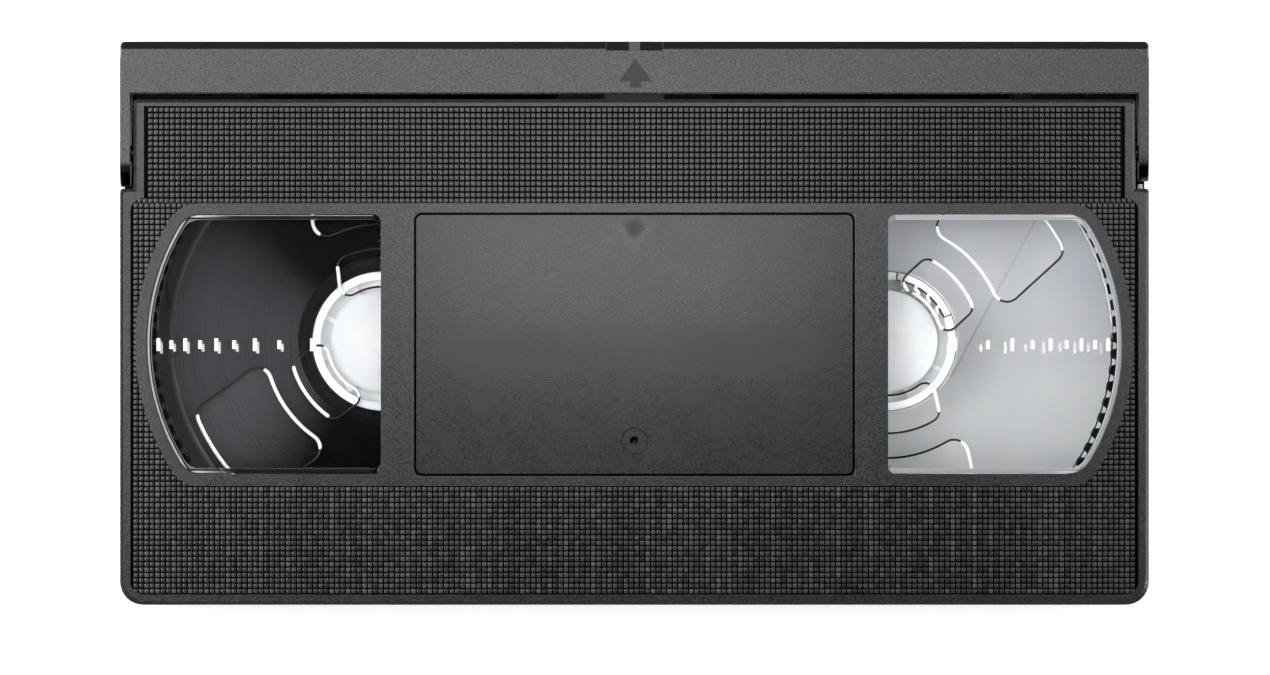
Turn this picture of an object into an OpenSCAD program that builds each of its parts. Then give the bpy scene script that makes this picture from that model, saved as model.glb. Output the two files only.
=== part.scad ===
// Two-reel video tape cassette with a hinged front lid, at its real size in millimetres.
// X runs along the shell, Y towards the lid and Z up to the side with the windows.
// The origin is the middle of the rectangle that the closed cassette lies on.

/* [Shell] */
// Length of the shell along X
shell_l = 187; // [186.5:0.5:188]
// Depth from the spine to the face of the lid along Y
shell_d = 102.4; // [102:0.2:103.4]
// Height of the closed cassette
shell_h = 25; // [24.8:0.1:25.4]
// Thickness of the floor, the top plate and the side walls
wall_t = 2; // [1.8:0.1:2.1]
// Height of the seam between the two halves
seam_z = 12.5; // [12:0.1:13]
// Radius of the two corners at the spine
corner_r = 4.2; // [3.5:0.1:5]
// Rounding of the outer edges of both halves
edge_r = 0.6; // [0.3:0.1:0.8]

/* [Lid] */
// Depth of the lid's top wall, from its face to its rear edge
lid_top_d = 9.55; // [9.2:0.05:9.7]
// Thickness of the lid's front and top walls
lid_wall = 1.6; // [1.4:0.1:1.8]
// Thickness of the lid's two side arms
lid_arm_t = 1.8; // [1.6:0.1:1.9]
// Distance of the lid's pivot behind its face
lid_pivot_back = 20.3; // [20:0.1:20.6]
// Distance of the lid's pivot below the top
lid_pivot_drop = 5.1; // [4.9:0.1:5.3]
// Radius of the lid's two pivot pins
lid_pin_r = 1.5; // [1.3:0.1:1.6]

/* [Reels] */
// Distance between the two reel axes
reel_pitch = 92; // [91.8:0.1:92.2]
// Place of the reel axes along Y
reel_y = -3.25; // [-3.5:0.05:-3]
// Tip radius of the teeth round a lower flange
flange_r = 42.2; // [41.8:0.1:42.3]
// Number of teeth round a lower flange
flange_teeth = 88; // [80:1:96]
// Radius of a clear upper flange
top_flange_r = 41; // [40.6:0.1:41.4]
// Outer radius of a hub
hub_r = 12.6; // [12.4:0.1:12.8]
// Radius of the splined socket in a hub
socket_r = 7.9; // [7.7:0.1:8]
// Radius of the pilot bore at the end of the socket
pilot_r = 6; // [5.8:0.1:6.1]

/* [Tape] */
// Width of the tape
tape_w = 12.65; // [12.5:0.05:12.7]
// Outer radius of the full pack on the supply reel
pack_r = 38; // [30:0.5:39]
// Outer radius of the leader wound under the full pack
leader_wrap_r = 15.2; // [14:0.1:16]
// Outer radius of the few turns of leader on the take-up hub
takeup_wrap_r = 13; // [12.9:0.05:13.2]

/* [Windows and label] */
// Radius of a window's outer side
window_arc_r = 41.57; // [41:0.01:42]
// Distance of the centre of that arc from the middle of the shell
window_arc_x = 47.17; // [47:0.01:47.4]
// Rear side of the windows
window_rear_y = -27.4; // [-28:0.1:-27]
// Front side of the windows
window_front_y = 19.8; // [19.4:0.1:20.2]
// Width of the label recess
label_w = 80.2; // [78:0.2:81]
// Depth of the label recess below the frame
label_deep = 0.5; // [0.3:0.1:0.7]
// Depth of the textured fields below the smooth borders
field_deep = 0.3; // [0.2:0.05:0.4]

/* [Hidden] */
$fn = 64;

// Reference lines of the shell's plan
half_l = shell_l / 2;
rear_y = -shell_d / 2;
face_y = shell_d / 2;
step_y = face_y - 26.74;
front_y = face_y - 10.53;
neck_half = half_l - 2.44;
neck_wall = 1.6;
front_wall = 1.2;
top_under_z = shell_h - wall_t;
past = 1;

// Front zone of the lower half, under the lid
tongue_y = face_y - 2.3;
tongue_in_x = 69;
pocket_in_x = 14;
tape_gap_x = 81;
tape_gap_top_z = 20;
upper_tongue_z = 20.6;
upper_tongue_t = 1.8;

// Lamp well between the pockets
lamp_y = front_y + 0.63;
lamp_r = 4.4;
lamp_tube_r = 5.4;
lamp_well_z = 17.5;
lamp_top_z = 18.5;
light_slot = [1.6, 6];
light_slot_z = 8;

// Locating holes in the front corners
locate_x = 74.5;
locate_y = front_y + 1.93;
locate_r = 2.6;
locate_boss_r = 4.2;
locate_deep = 8;
locate_boss_z = 9.5;

// Levels of a reel
skirt_z = 0.8;
flange_z = 3.2;
flange_t = 1.2;
tape_z = flange_z + flange_t + 0.1;
hub_top_z = tape_z + tape_w + 0.05;
top_flange_z = hub_top_z + 0.1;
top_flange_t = 1;
floor_hole_r = 14.2;
cup_r = 9.2;
rim_t = 1.4;
web_z = 4.8;
clip_seat_z = 6;
well_z = 14.2;
clip_face_r = hub_r - 1.2;
pilot_z = 12.6;
cap_z = 16;
rib_angle = 40;
clip_half_angle = 30;
supply_clip_angle = 37;
takeup_clip_angle = 52;
supply_flange_angle = 96.4;
takeup_flange_angle = 42.4;
reel_x = reel_pitch / 2;
wind_gap = 0.15;

// Tape guides in the front corners
roller_at = [-85, face_y - 6.5];
roller_r = 2.8;
roller_pin_r = 1;
left_post_at = [-79, face_y - 5.2];
left_post_r = 1.5;
right_post_at = [84.5, face_y - 5.9];
right_post_r = 2.2;
guide_foot_z = 4.2;
guide_top_z = 21.4;
tape_off = 0.3;
tape_t = 0.2;

// Lid pivot and lock
pivot_y = face_y - lid_pivot_back;
pivot_z = shell_h - lid_pivot_drop;
arm_in_x = half_l - lid_arm_t;
lid_low_z = 0.6;
left_lobe_r = 6.1;
right_lobe_r = 5.1;
pin_tip_x = neck_half - neck_wall - 0.1;
running_gap = 0.05;
lock_at = [88.2, 13];
lock_pin_r = 1;
lock_z = 16.4;
lock_top_z = 21.4;

// Reel brakes
brake_at = [15.5, 35];
brake_post_r = 1.5;
brake_hub_r = 2.8;
release_y = 33;
release_z = 7;
release_pin_r = 1.2;
release_half = 8;
release_hole_r = 3.2;
release_hole_y = 24;

// Screws and the bosses that they hold together
screw_at = [[-84.5, -43.4], [84.5, -43.4], [-83, 28.8], [83, 28.8], [0, -37]];
screw_boss_r = 3.3;
screw_head_r = 2.7;
screw_head_z = 1.2;
screw_seat_z = 3.2;
screw_tip_z = 20;

shell_color = [0.07, 0.07, 0.075];
lid_color = [0.32, 0.32, 0.33];
hub_color = [0.9, 0.9, 0.9];
clear_color = [0.75, 0.82, 0.88, 0.35];
tape_color = [0.13, 0.12, 0.12];
steel_color = [0.72, 0.72, 0.74];
lever_color = [0.78, 0.78, 0.76];

function polar(r, a) = [r * cos(a), r * sin(a)];
function unit(v) = v / norm(v);

// Plan rectangle with rounded corners, made of squares and circles
module round_rect(low, high, r) {
    translate([low.x + r, low.y]) square([high.x - low.x - 2 * r, high.y - low.y]);
    translate([low.x, low.y + r]) square([high.x - low.x, high.y - low.y - 2 * r]);
    for (x = [low.x + r, high.x - r], y = [low.y + r, high.y - r]) {
        translate([x, y]) circle(r);
    }
}

// Block with upright corners of radius r and a rounded rim at its top or bottom end
module soft_block(low, high, r, z_flat, z_round, e) {
    way = sign(z_round - z_flat);
    hull() {
        for (k = [0, 0.3, 1]) {
            inset = e * (1 - sqrt(1 - k * k));
            z = z_round - way * e * (1 - k);
            translate([0, 0, min(z, z_flat)]) linear_extrude(abs(z - z_flat), $fn = 32) {
                round_rect([low.x + inset, low.y + inset], [high.x - inset, high.y - inset], r);
            }
        }
    }
}

// Sector of a circle between two angles, as a polygon that reaches past radius r
module sector(r, from, to) {
    steps = ceil((to - from) / 30);
    polygon(concat([[0, 0]], [for (i = [0:steps]) polar(r * 1.1, from + (to - from) * i / steps)]));
}

// Shallow groove round the outside at the seam between the halves
module seam_groove() {
    groove = [0.25, 0.35];
    translate([0, 0, seam_z - groove.y]) linear_extrude(groove.y + past) difference() {
        translate([-half_l - past, rear_y - past]) square([shell_l + 2 * past, shell_d + past]);
        round_rect(
            [-half_l + groove.x, rear_y + groove.x],
            [half_l - groove.x, step_y - groove.x],
            corner_r - groove.x
        );
        translate([-neck_half + groove.x, 0]) {
            square([2 * (neck_half - groove.x), face_y]);
        }
    }
}

// Part of a ring between two angles
module ring_sector(r_in, r_out, from, to) {
    intersection() {
        difference() {
            circle(r_out);
            circle(r_in);
        }
        sector(r_out, from, to);
    }
}

// Plan of both halves' cavity, inside the side walls
module cavity_plan() {
    round_rect(
        [-half_l + wall_t, rear_y + wall_t],
        [half_l - wall_t, step_y - neck_wall],
        corner_r - wall_t
    );
    translate([-neck_half + neck_wall, 0]) {
        square([2 * (neck_half - neck_wall), front_y - front_wall]);
    }
}

// Outer form of one half: a wide body, and a narrower neck between the lid's arms
module half_body(z_flat, z_round, neck_y) {
    soft_block([-half_l, rear_y], [half_l, step_y], corner_r, z_flat, z_round, edge_r);
    translate([half_l - 2 * corner_r, step_y - 2 * corner_r, 0]) step_corner(z_flat, z_round);
    mirror([1, 0, 0]) {
        translate([half_l - 2 * corner_r, step_y - 2 * corner_r, 0]) step_corner(z_flat, z_round);
    }
    soft_block([-neck_half, 0], [neck_half, neck_y], 0.5, z_flat, z_round, edge_r);
}

// The wide body's corner behind a lid arm, which is sharper than the ones at the spine
module step_corner(z_flat, z_round) {
    soft_block([0, 0], [2 * corner_r, 2 * corner_r], edge_r, z_flat, z_round, edge_r);
}

// Plan of a window on the right, grown or drawn in by grow
module window_plan(grow) {
    inner_r = 1.4;
    outer_r = 4.5;
    intersection() {
        offset(r = outer_r + grow, $fn = 96) offset(delta = -outer_r) intersection() {
            translate([window_arc_x, reel_y - 0.46]) circle(window_arc_r, $fn = 240);
            translate([reel_x - 20, window_rear_y]) {
                square([80, window_front_y - window_rear_y]);
            }
        }
        translate([reel_x + 0.1 - grow, window_rear_y - 10]) {
            square([80, window_front_y - window_rear_y + 20]);
        }
        round_rect(
            [reel_x + 0.1 - grow, window_rear_y - grow],
            [reel_x + 60, window_front_y + grow],
            inner_r + grow
        );
    }
}

// Smooth frame that surrounds both windows and the label
module frame_plan() {
    rim = 2;
    frame_corner_r = 6.4;
    offset(r = frame_corner_r, $fn = 96) offset(delta = -frame_corner_r) intersection() {
        union() {
            for (s = [-1, 1]) {
                translate([s * window_arc_x, reel_y - 0.46]) {
                    circle(window_arc_r + rim, $fn = 240);
                }
            }
            translate([-window_arc_x, rear_y]) square([2 * window_arc_x, shell_d]);
        }
        translate([-half_l, window_rear_y - 2.2]) {
            square([shell_l, window_front_y - window_rear_y + 4.2]);
        }
    }
}

// Fields on the top that carry the fine square texture
module field_plan() {
    border = 1.9;
    difference() {
        union() {
            round_rect(
                [-half_l + border, rear_y + border],
                [half_l - border, step_y - 1.7],
                corner_r - border
            );
            translate([-neck_half + border, 0]) {
                square([2 * (neck_half - border), front_y - 1.2]);
            }
        }
        frame_plan();
    }
}

// Long recess in the spine for its label, cut in both halves
module spine_recess() {
    recess_half = 71;
    recess_deep = 0.4;
    translate([-recess_half, rear_y - past, 2.4]) {
        cube([2 * recess_half, past + recess_deep, shell_h - 4.8]);
    }
}

// Lower half: floor with the spindle holes, walls, guide feet, wells and the two pockets
module lower_shell() {
    color(shell_color) difference() {
        union() {
            difference() {
                half_body(seam_z, 0, tongue_y);
                translate([0, 0, wall_t]) linear_extrude(seam_z) cavity_plan();
                translate([-neck_half + neck_wall, front_y, wall_t]) {
                    cube([2 * (neck_half - neck_wall), 10, seam_z]);
                }
                tape_gaps(wall_t);
            }
            lower_fittings();
        }
        spine_recess();
        seam_groove();
        floor_relief();
        pockets();
        erase_tab_slot();
        for (s = [-1, 1]) {
            translate([s * reel_x, reel_y, -past]) cylinder(h = seam_z, r = floor_hole_r);
            translate([s * locate_x, locate_y, -past]) {
                cylinder(h = locate_deep + past, r = locate_r);
            }
            light_slot_cut(s);
        }
        translate([0, lamp_y, -past]) cylinder(h = lamp_well_z + past, r = lamp_r);
        translate([0, release_hole_y, -past]) cylinder(h = wall_t + 2 * past, r = release_hole_r);
        for (p = screw_at) {
            translate([p.x, p.y, -past]) cylinder(h = screw_seat_z + past, r = screw_head_r + 0.3);
            translate([p.x, p.y, 0]) cylinder(h = seam_z + past, r = 1.6);
        }
        post_holes(1);
    }
}

// Shallow rings round the spindle holes and a sunk field in the underside
module floor_relief() {
    relief = 0.3;
    for (s = [-1, 1]) translate([s * reel_x, reel_y, -past]) difference() {
        cylinder(h = past + relief, r = floor_hole_r + 4.3);
        cylinder(h = past + relief, r = floor_hole_r + 1.5);
    }
    translate([0, 0, -past]) linear_extrude(past + relief) difference() {
        round_rect([-88, rear_y + 7], [88, step_y - 3], 3);
        for (s = [-1, 1]) translate([s * reel_x, reel_y]) circle(floor_hole_r + 9);
        round_rect([-12, release_hole_y - 7], [12, step_y], 2);
        for (p = screw_at) translate(p) circle(screw_head_r + 3);
    }
}

// Gaps in the front wall through which the tape leaves and enters the reel space
module tape_gaps(z) {
    for (s = [-1, 1]) {
        low_x = s > 0 ? tape_gap_x : -neck_half + neck_wall;
        translate([low_x, front_y - front_wall - past, z]) {
            cube([neck_half - neck_wall - tape_gap_x, front_wall + 2 * past, tape_gap_top_z - z]);
        }
    }
}

// Bosses, posts, guards and feet that stand on the floor
module lower_fittings() {
    foot_r = 2.6;
    for (p = screw_at) translate([p.x, p.y, 0]) cylinder(h = seam_z, r = screw_boss_r);
    for (s = [-1, 1]) {
        translate([s * locate_x, locate_y, 0]) cylinder(h = locate_boss_z, r = locate_boss_r);
        translate([s * reel_x, reel_y, 0]) {
            cylinder(h = wall_t + 0.7, r = floor_hole_r + 1.8);
            reel_guard(s, wall_t - 0.1, 9);
        }
        translate([s * brake_at.x, brake_at.y, 0]) {
            cylinder(h = wall_t + 0.3, r = brake_hub_r + 0.4);
            cylinder(h = 19, r = brake_post_r);
        }
        release_ear(s);
    }
    for (p = [roller_at, left_post_at, right_post_at]) {
        translate([p.x, p.y, 0]) cylinder(h = guide_foot_z, r = foot_r);
    }
    translate([0, lamp_y, 0]) cylinder(h = lamp_top_z, r = lamp_tube_r);
}

// Curved guard wall behind a reel, on the side of the spine
module reel_guard(s, z_low, h) {
    span = 105;
    from = s > 0 ? 205 : 335 - span;
    translate([0, 0, z_low]) linear_extrude(h) {
        ring_sector(flange_r + 1.1, flange_r + 2.1, from, from + span, $fn = 96);
    }
}

// One of the two bearings of the release lever
module release_ear(s) {
    ear_t = 1.6;
    ear_x = release_half + 0.6;
    translate([s > 0 ? ear_x : -ear_x - ear_t, release_y - 2.4, 0]) {
        difference() {
            union() {
                cube([ear_t, 4.8, release_z]);
                translate([0, 2.4, release_z]) rotate([0, 90, 0]) cylinder(h = ear_t, r = 2.4);
            }
            translate([-past, 2.4, release_z]) rotate([0, 90, 0]) {
                cylinder(h = ear_t + 2 * past, r = release_pin_r + running_gap);
            }
        }
    }
}

// Slots that let the lamp's light out to both sides, low in the well and in the side walls
module light_slot_cut(s) {
    x_from = [0, neck_half - neck_wall - past];
    x_length = [lamp_tube_r + past, neck_wall + 2 * past];
    for (k = [0, 1]) {
        low_x = s > 0 ? x_from[k] : -x_from[k] - x_length[k];
        translate([low_x, lamp_y - light_slot.x / 2, light_slot_z]) {
            cube([x_length[k], light_slot.x, light_slot.y]);
        }
    }
}

// Loading pockets behind the tape, open below and to the front
module pockets() {
    pocket_r = 1.5;
    for (s = [-1, 1]) {
        low_x = s > 0 ? pocket_in_x : -tongue_in_x;
        translate([0, 0, -past]) linear_extrude(seam_z + 2 * past) {
            round_rect([low_x, front_y], [low_x + tongue_in_x - pocket_in_x, face_y + 2], pocket_r);
        }
    }
    translate([-pocket_in_x - past, lamp_y + lamp_tube_r, -past]) {
        cube([2 * (pocket_in_x + past), 10, seam_z + 2 * past]);
    }
}

// Slot on three sides of the break-off tab in the spine
module erase_tab_slot() {
    slot = 0.6;
    tab = [6, 5];
    translate([-86.4, rear_y - past, 4]) difference() {
        cube([tab.x + 2 * slot, wall_t + 2 * past, tab.y + 2 * slot]);
        translate([slot, -past, -past]) cube([tab.x, wall_t + 4 * past, tab.y + slot + past]);
    }
}

// Holes for the roller's pin and the two steel posts, from z up
module post_holes(z) {
    fits = [
        [roller_at, roller_pin_r],
        [left_post_at, left_post_r],
        [right_post_at, right_post_r]
    ];
    for (f = fits) {
        translate([f[0].x, f[0].y, z]) cylinder(h = shell_h, r = f[1] + 0.02);
    }
}

// Upper half: top plate with the windows, label recess and textured fields, and its walls
module upper_shell() {
    color(shell_color) difference() {
        union() {
            difference() {
                half_body(seam_z, shell_h, front_y);
                translate([0, 0, seam_z - past]) {
                    linear_extrude(top_under_z - seam_z + past) cavity_plan();
                }
                tape_gaps(seam_z - past);
            }
            upper_fittings();
        }
        translate([0, 0, shell_h - field_deep]) linear_extrude(past) field_plan();
        translate([0, 0, top_under_z - past]) linear_extrude(wall_t + 2 * past) {
            window_plan(0);
            mirror([1, 0, 0]) window_plan(0);
        }
        label_recess();
        spine_recess();
        lid_pin_holes();
        lock_slot();
        translate([0, lamp_y, seam_z - past]) {
            cylinder(h = lamp_top_z + 0.3 - seam_z + past, r = lamp_tube_r + 0.3);
        }
        for (p = screw_at) {
            translate([p.x, p.y, seam_z - past]) cylinder(h = screw_tip_z - seam_z + 1.5, r = 1.15);
        }
    }
}

// Shallow recess for the label, with a fine groove round its floor and the round gate mark in it
module label_recess() {
    low = [-label_w / 2, window_rear_y - 0.4];
    high = [label_w / 2, window_front_y + 0.3];
    corner_r = 1.5;
    groove_w = 0.45;
    inset = [groove_w, groove_w];
    gate_y = -21.4;
    floor_z = shell_h - label_deep;
    translate([0, 0, floor_z]) linear_extrude(label_deep + past) round_rect(low, high, corner_r);
    translate([0, 0, floor_z - 0.3]) linear_extrude(0.4) difference() {
        round_rect(low, high, corner_r);
        round_rect(low + inset, high - inset, corner_r - groove_w);
    }
    translate([0, gate_y, floor_z - 0.4]) difference() {
        cylinder(h = 1, r = 2.35);
        translate([0, 0, -past]) cylinder(h = past + 0.3, r = 0.85);
    }
}

// Bosses, corner tongues, spring seat and guards under the top plate
module upper_fittings() {
    for (p = screw_at) {
        translate([p.x, p.y, seam_z + 0.1]) {
            cylinder(h = top_under_z - seam_z, r = screw_boss_r - 0.2);
        }
    }
    for (s = [-1, 1]) {
        translate([s * reel_x, reel_y, 0]) reel_guard(s, top_under_z - 3.2, 3.4);
        upper_tongue(s);
        translate([s * 5, reel_y, spring_top_z() - 1]) {
            cylinder(h = top_under_z - spring_top_z() + 1.2, r = 1.1);
        }
    }
    translate([lock_at.x, lock_at.y, lock_z - 1]) {
        cylinder(h = top_under_z - lock_z + 1.2, r = lock_pin_r);
    }
}

// Corner plate over the ends of the guide posts, hidden by the closed lid
module upper_tongue(s) {
    low_x = s > 0 ? tongue_in_x + 3 : -neck_half + 0.4;
    difference() {
        translate([low_x, front_y - front_wall, upper_tongue_z]) {
            cube([neck_half - tongue_in_x - 3.4, tongue_y - front_y + 0.3, upper_tongue_t]);
        }
        translate([0, 0, -upper_tongue_z]) post_holes(upper_tongue_z);
    }
}

// Bearing holes for the lid's pins, through the neck's side walls
module lid_pin_holes() {
    for (s = [-1, 1]) {
        low_x = s > 0 ? neck_half - neck_wall - past : -neck_half - past;
        translate([low_x, pivot_y, pivot_z]) rotate([0, 90, 0]) {
            cylinder(h = neck_wall + 2 * past, r = lid_pin_r + running_gap);
        }
    }
}

// Slot in the right side, behind the lid's arm, for the lock's button and nose
module lock_slot() {
    slot_in_x = 88.2;
    slot_rear_y = 19.2;
    translate([slot_in_x, slot_rear_y, lock_z - 0.3]) {
        cube([half_l - slot_in_x + past, 26.2 - slot_rear_y, lock_top_z - lock_z + 0.6]);
    }
}

// Clear window plate: it fills its opening and is held by a flange under the top plate
module window_plate() {
    plate_gap = 0.12;
    lip = 1.3;
    lip_z = top_under_z - 1.1;
    bevel = 0.9;
    corner_free = 1.6;
    rim_z = shell_h - 0.75;
    color(clear_color) {
        hull() {
            translate([0, 0, lip_z]) linear_extrude(rim_z - lip_z) window_plan(-plate_gap);
            translate([0, 0, lip_z]) {
                linear_extrude(shell_h - 0.2 - lip_z) window_plan(-plate_gap - bevel);
            }
            translate([reel_x + 0.1 + plate_gap, window_rear_y + corner_free, lip_z]) {
                cube([1, window_front_y - window_rear_y - 2 * corner_free, shell_h - 0.2 - lip_z]);
            }
        }
        translate([0, 0, lip_z]) linear_extrude(1.05) window_plan(lip);
    }
}

module window_right() {
    window_plate();
}

module window_left() {
    mirror([1, 0, 0]) window_plate();
}

// Lid: face, top wall and two side arms that end in pivot lobes
module front_lid() {
    color(lid_color) {
        difference() {
            lid_block();
            translate([-arm_in_x, face_y - 20, lid_low_z - past]) {
                cube([2 * arm_in_x, 20 - lid_wall, shell_h - lid_wall - lid_low_z + past]);
            }
            lid_notch();
            lid_arrow();
        }
        lid_nub();
        lid_arm(-1, left_lobe_r);
        lid_arm(1, right_lobe_r);
        for (x = [-56, -28, 28, 56]) lid_gusset(x);
    }
}

// Outer form of the lid's trough, with a bevelled upper front edge and rounded corners
module lid_block() {
    bevel_d = 1.35;
    bevel_h = 1.15;
    side_r = 0.9;
    rear = face_y - lid_top_d;
    hull() {
        for (s = [-1, 1]) {
            translate([s * (half_l - side_r), face_y - side_r, lid_low_z]) {
                cylinder(h = shell_h - lid_low_z - bevel_h, r = side_r, $fn = 32);
            }
        }
        translate([-half_l + 0.3, rear + 0.3, shell_h - bevel_h]) {
            cube([shell_l - 0.6, lid_top_d - 0.3 - bevel_d, bevel_h]);
        }
        translate([-half_l, rear, lid_low_z]) {
            cube([shell_l, 1, shell_h - lid_low_z - 0.3]);
        }
        translate([-half_l + 0.3, rear + 0.3, lid_low_z]) {
            cube([shell_l - 0.6, 1, shell_h - lid_low_z]);
        }
    }
}

// Shallow notch in the middle of the lid's upper front edge
module lid_notch() {
    notch = [10.2, 1.65, 1.1];
    translate([-notch.x / 2, face_y - notch.y, shell_h - notch.z]) {
        cube([notch.x, notch.y + past, notch.z + past]);
    }
}

// Sunk arrow that shows which way the cassette goes in
module lid_arrow() {
    tip_y = face_y - 3.2;
    head = [6, 4.06];
    stem = [2.02, 1.1];
    arrow_deep = 0.3;
    translate([0.2, tip_y, shell_h - arrow_deep]) linear_extrude(arrow_deep + past) {
        polygon([[0, 0], [head.x / 2, -head.y], [-head.x / 2, -head.y]]);
        translate([-stem.x / 2, -head.y - stem.y]) square([stem.x, stem.y + 1]);
    }
}

// Small gate mark that stands in the notch
module lid_nub() {
    translate([0, face_y - 1.1, shell_h - 1.4]) {
        cylinder(h = 0.5, r = 0.75);
        cylinder(h = 0.9, r = 0.4);
    }
}

// Side arm: a plate that narrows from the lid's full height to the lobe round the pivot
module lid_arm(s, lobe_r) {
    low = [
        [face_y - 5, lid_low_z],
        [face_y - 7.6, lid_low_z + 2.4],
        [face_y - 10.6, lid_low_z + 8.4],
        [pivot_y + 2, pivot_z - lobe_r + 0.4],
        [pivot_y, pivot_z - lobe_r],
        [pivot_y, pivot_z],
        [pivot_y - 3, shell_h],
        [face_y - 3, shell_h],
        [face_y - 3, lid_low_z]
    ];
    flat_rear = [for (p = low) [max(p[0], pivot_y - sqrt(pow(lobe_r, 2) - pow(lid_pivot_drop, 2))), p[1]]];
    low_x = s > 0 ? arm_in_x : -half_l;
    translate([low_x, 0, 0]) rotate([90, 0, 90]) linear_extrude(lid_arm_t) {
        polygon(flat_rear);
        intersection() {
            translate([pivot_y, pivot_z]) circle(lobe_r);
            translate([0, 0]) square([pivot_y + lobe_r, shell_h]);
        }
    }
    lid_pin(s);
}

// Pivot pin on the inner side of an arm, with a longer end on the left for the spring
module lid_pin(s) {
    tip_x = s > 0 ? pin_tip_x : pin_tip_x - 3;
    low_x = s > 0 ? tip_x : -arm_in_x - 0.5;
    translate([low_x, pivot_y, pivot_z]) rotate([0, 90, 0]) {
        cylinder(h = arm_in_x + 0.5 - tip_x, r = lid_pin_r);
    }
}

// Small brace between the lid's top wall and face
module lid_gusset(x) {
    leg = 3.4;
    top = shell_h - lid_wall + 0.2;
    inner = face_y - lid_wall + 0.2;
    translate([x - 0.5, 0, 0]) rotate([90, 0, 90]) linear_extrude(1) {
        polygon([[inner, top], [inner - leg, top], [inner, top - leg]]);
    }
}

// Points of a wire: a straight leg, some turns round Z and a second leg
function wire_path(r, turns, pitch, leg_in, leg_out, per_turn = 8) = concat(
    [[r, -leg_in, 0]],
    [
        for (i = [0:turns * per_turn])
            let (a = i * 360 / per_turn) [r * cos(a), r * sin(a), pitch * a / 360]
    ],
    [concat(
        polar(r, turns * 360) + leg_out * [-sin(turns * 360), cos(turns * 360)],
        [pitch * turns]
    )]
);

// Least distance between the surfaces of stretches half a turn or more apart
function least_gap(path, wire_r, per_turn = 8) = min([
    for (i = [1:len(path) - 2], j = [i + per_turn / 2:1:len(path) - 2])
        norm(path[j] - path[i]) - 2 * wire_r
]);

// Tube with six sides along a path that never runs straight up
module wire(path, r) {
    sides = 6;
    last = len(path) - 1;
    rings = [
        for (i = [0:last])
            let (
                t = unit(path[min(i + 1, last)] - path[max(i - 1, 0)]),
                u = unit(cross(t, [0, 0, 1])),
                v = cross(u, t)
            )
            for (k = [0:sides - 1])
                path[i] + r * cos(k * 360 / sides) * u + r * sin(k * 360 / sides) * v
    ];
    walls = [
        for (i = [0:last - 1], k = [0:sides - 1])
            let (a = i * sides + k, b = i * sides + (k + 1) % sides)
            each [[a, a + sides, b], [b, a + sides, b + sides]]
    ];
    polyhedron(
        rings,
        concat(
            walls,
            [[for (k = [0:sides - 1]) k]],
            [[for (k = [sides - 1:-1:0]) last * sides + k]]
        )
    );
}

// Torsion spring round the left pin of the lid
module lid_spring() {
    wire_r = 0.25;
    path = wire_path(2.25, 2.5, 0.95, 5, 6);
    echo(str("least gap of the lid spring: ", least_gap(path, wire_r)));
    color(steel_color) translate([-pin_tip_x + 0.35, pivot_y, pivot_z]) rotate([0, 90, 0]) {
        wire(path, wire_r);
    }
}

// Lid lock: a lever on an upright pin, with a push button, a nose and a springy tail
module lid_lock() {
    h = lock_top_z - lock_z;
    button_x = half_l - 0.4;
    color(lever_color) translate([0, 0, lock_z]) linear_extrude(h) difference() {
        union() {
            translate(lock_at) circle(2);
            polygon([
                [lock_at.x - 1.1, lock_at.y],
                [lock_at.x - 0.9, lock_at.y - 1.2],
                [lock_at.x + 1.2, 3.9],
                [lock_at.x + 1.7, 4],
                [lock_at.x + 0.5, lock_at.y - 1.2],
                [lock_at.x + 0.5, 19],
                [lock_at.x + 1.1, 19.6],
                [button_x - 0.5, 19.6],
                [button_x, 20.1],
                [button_x, 23.6],
                [button_x - 0.4, 24],
                [92.58, 24.3],
                [92.4, 25.3],
                [91.7, 25.3],
                [91.56, 24.2],
                [90.6, 22.2],
                [lock_at.x - 1.1, 21.4]
            ]);
        }
        translate(lock_at) circle(lock_pin_r + running_gap);
    }
}

// Flat disc with the brake teeth round it
module toothed_disc() {
    root_r = flange_r - 1.1;
    step = 360 / flange_teeth;
    polygon([
        for (i = [0:flange_teeth - 1])
            each [
                polar(root_r, (i - 0.28) * step),
                polar(flange_r, (i - 0.14) * step),
                polar(flange_r, (i + 0.14) * step),
                polar(root_r, (i + 0.28) * step)
            ]
    ]);
}

// Half section of a hub: outer wall, shallow well, socket wall with its lead-in, pilot ring and cap
module hub_section() {
    translate([hub_r - rim_t, skirt_z]) square([rim_t, hub_top_z - skirt_z]);
    translate([cup_r - 0.2, web_z]) square([hub_r - cup_r - rim_t + 0.4, well_z - web_z]);
    polygon([
        [socket_r + 0.7, skirt_z],
        [cup_r, skirt_z],
        [cup_r, hub_top_z],
        [0, hub_top_z],
        [0, cap_z],
        [pilot_r, cap_z],
        [pilot_r, pilot_z],
        [socket_r, pilot_z],
        [socket_r, skirt_z + 1.2]
    ]);
}

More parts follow.
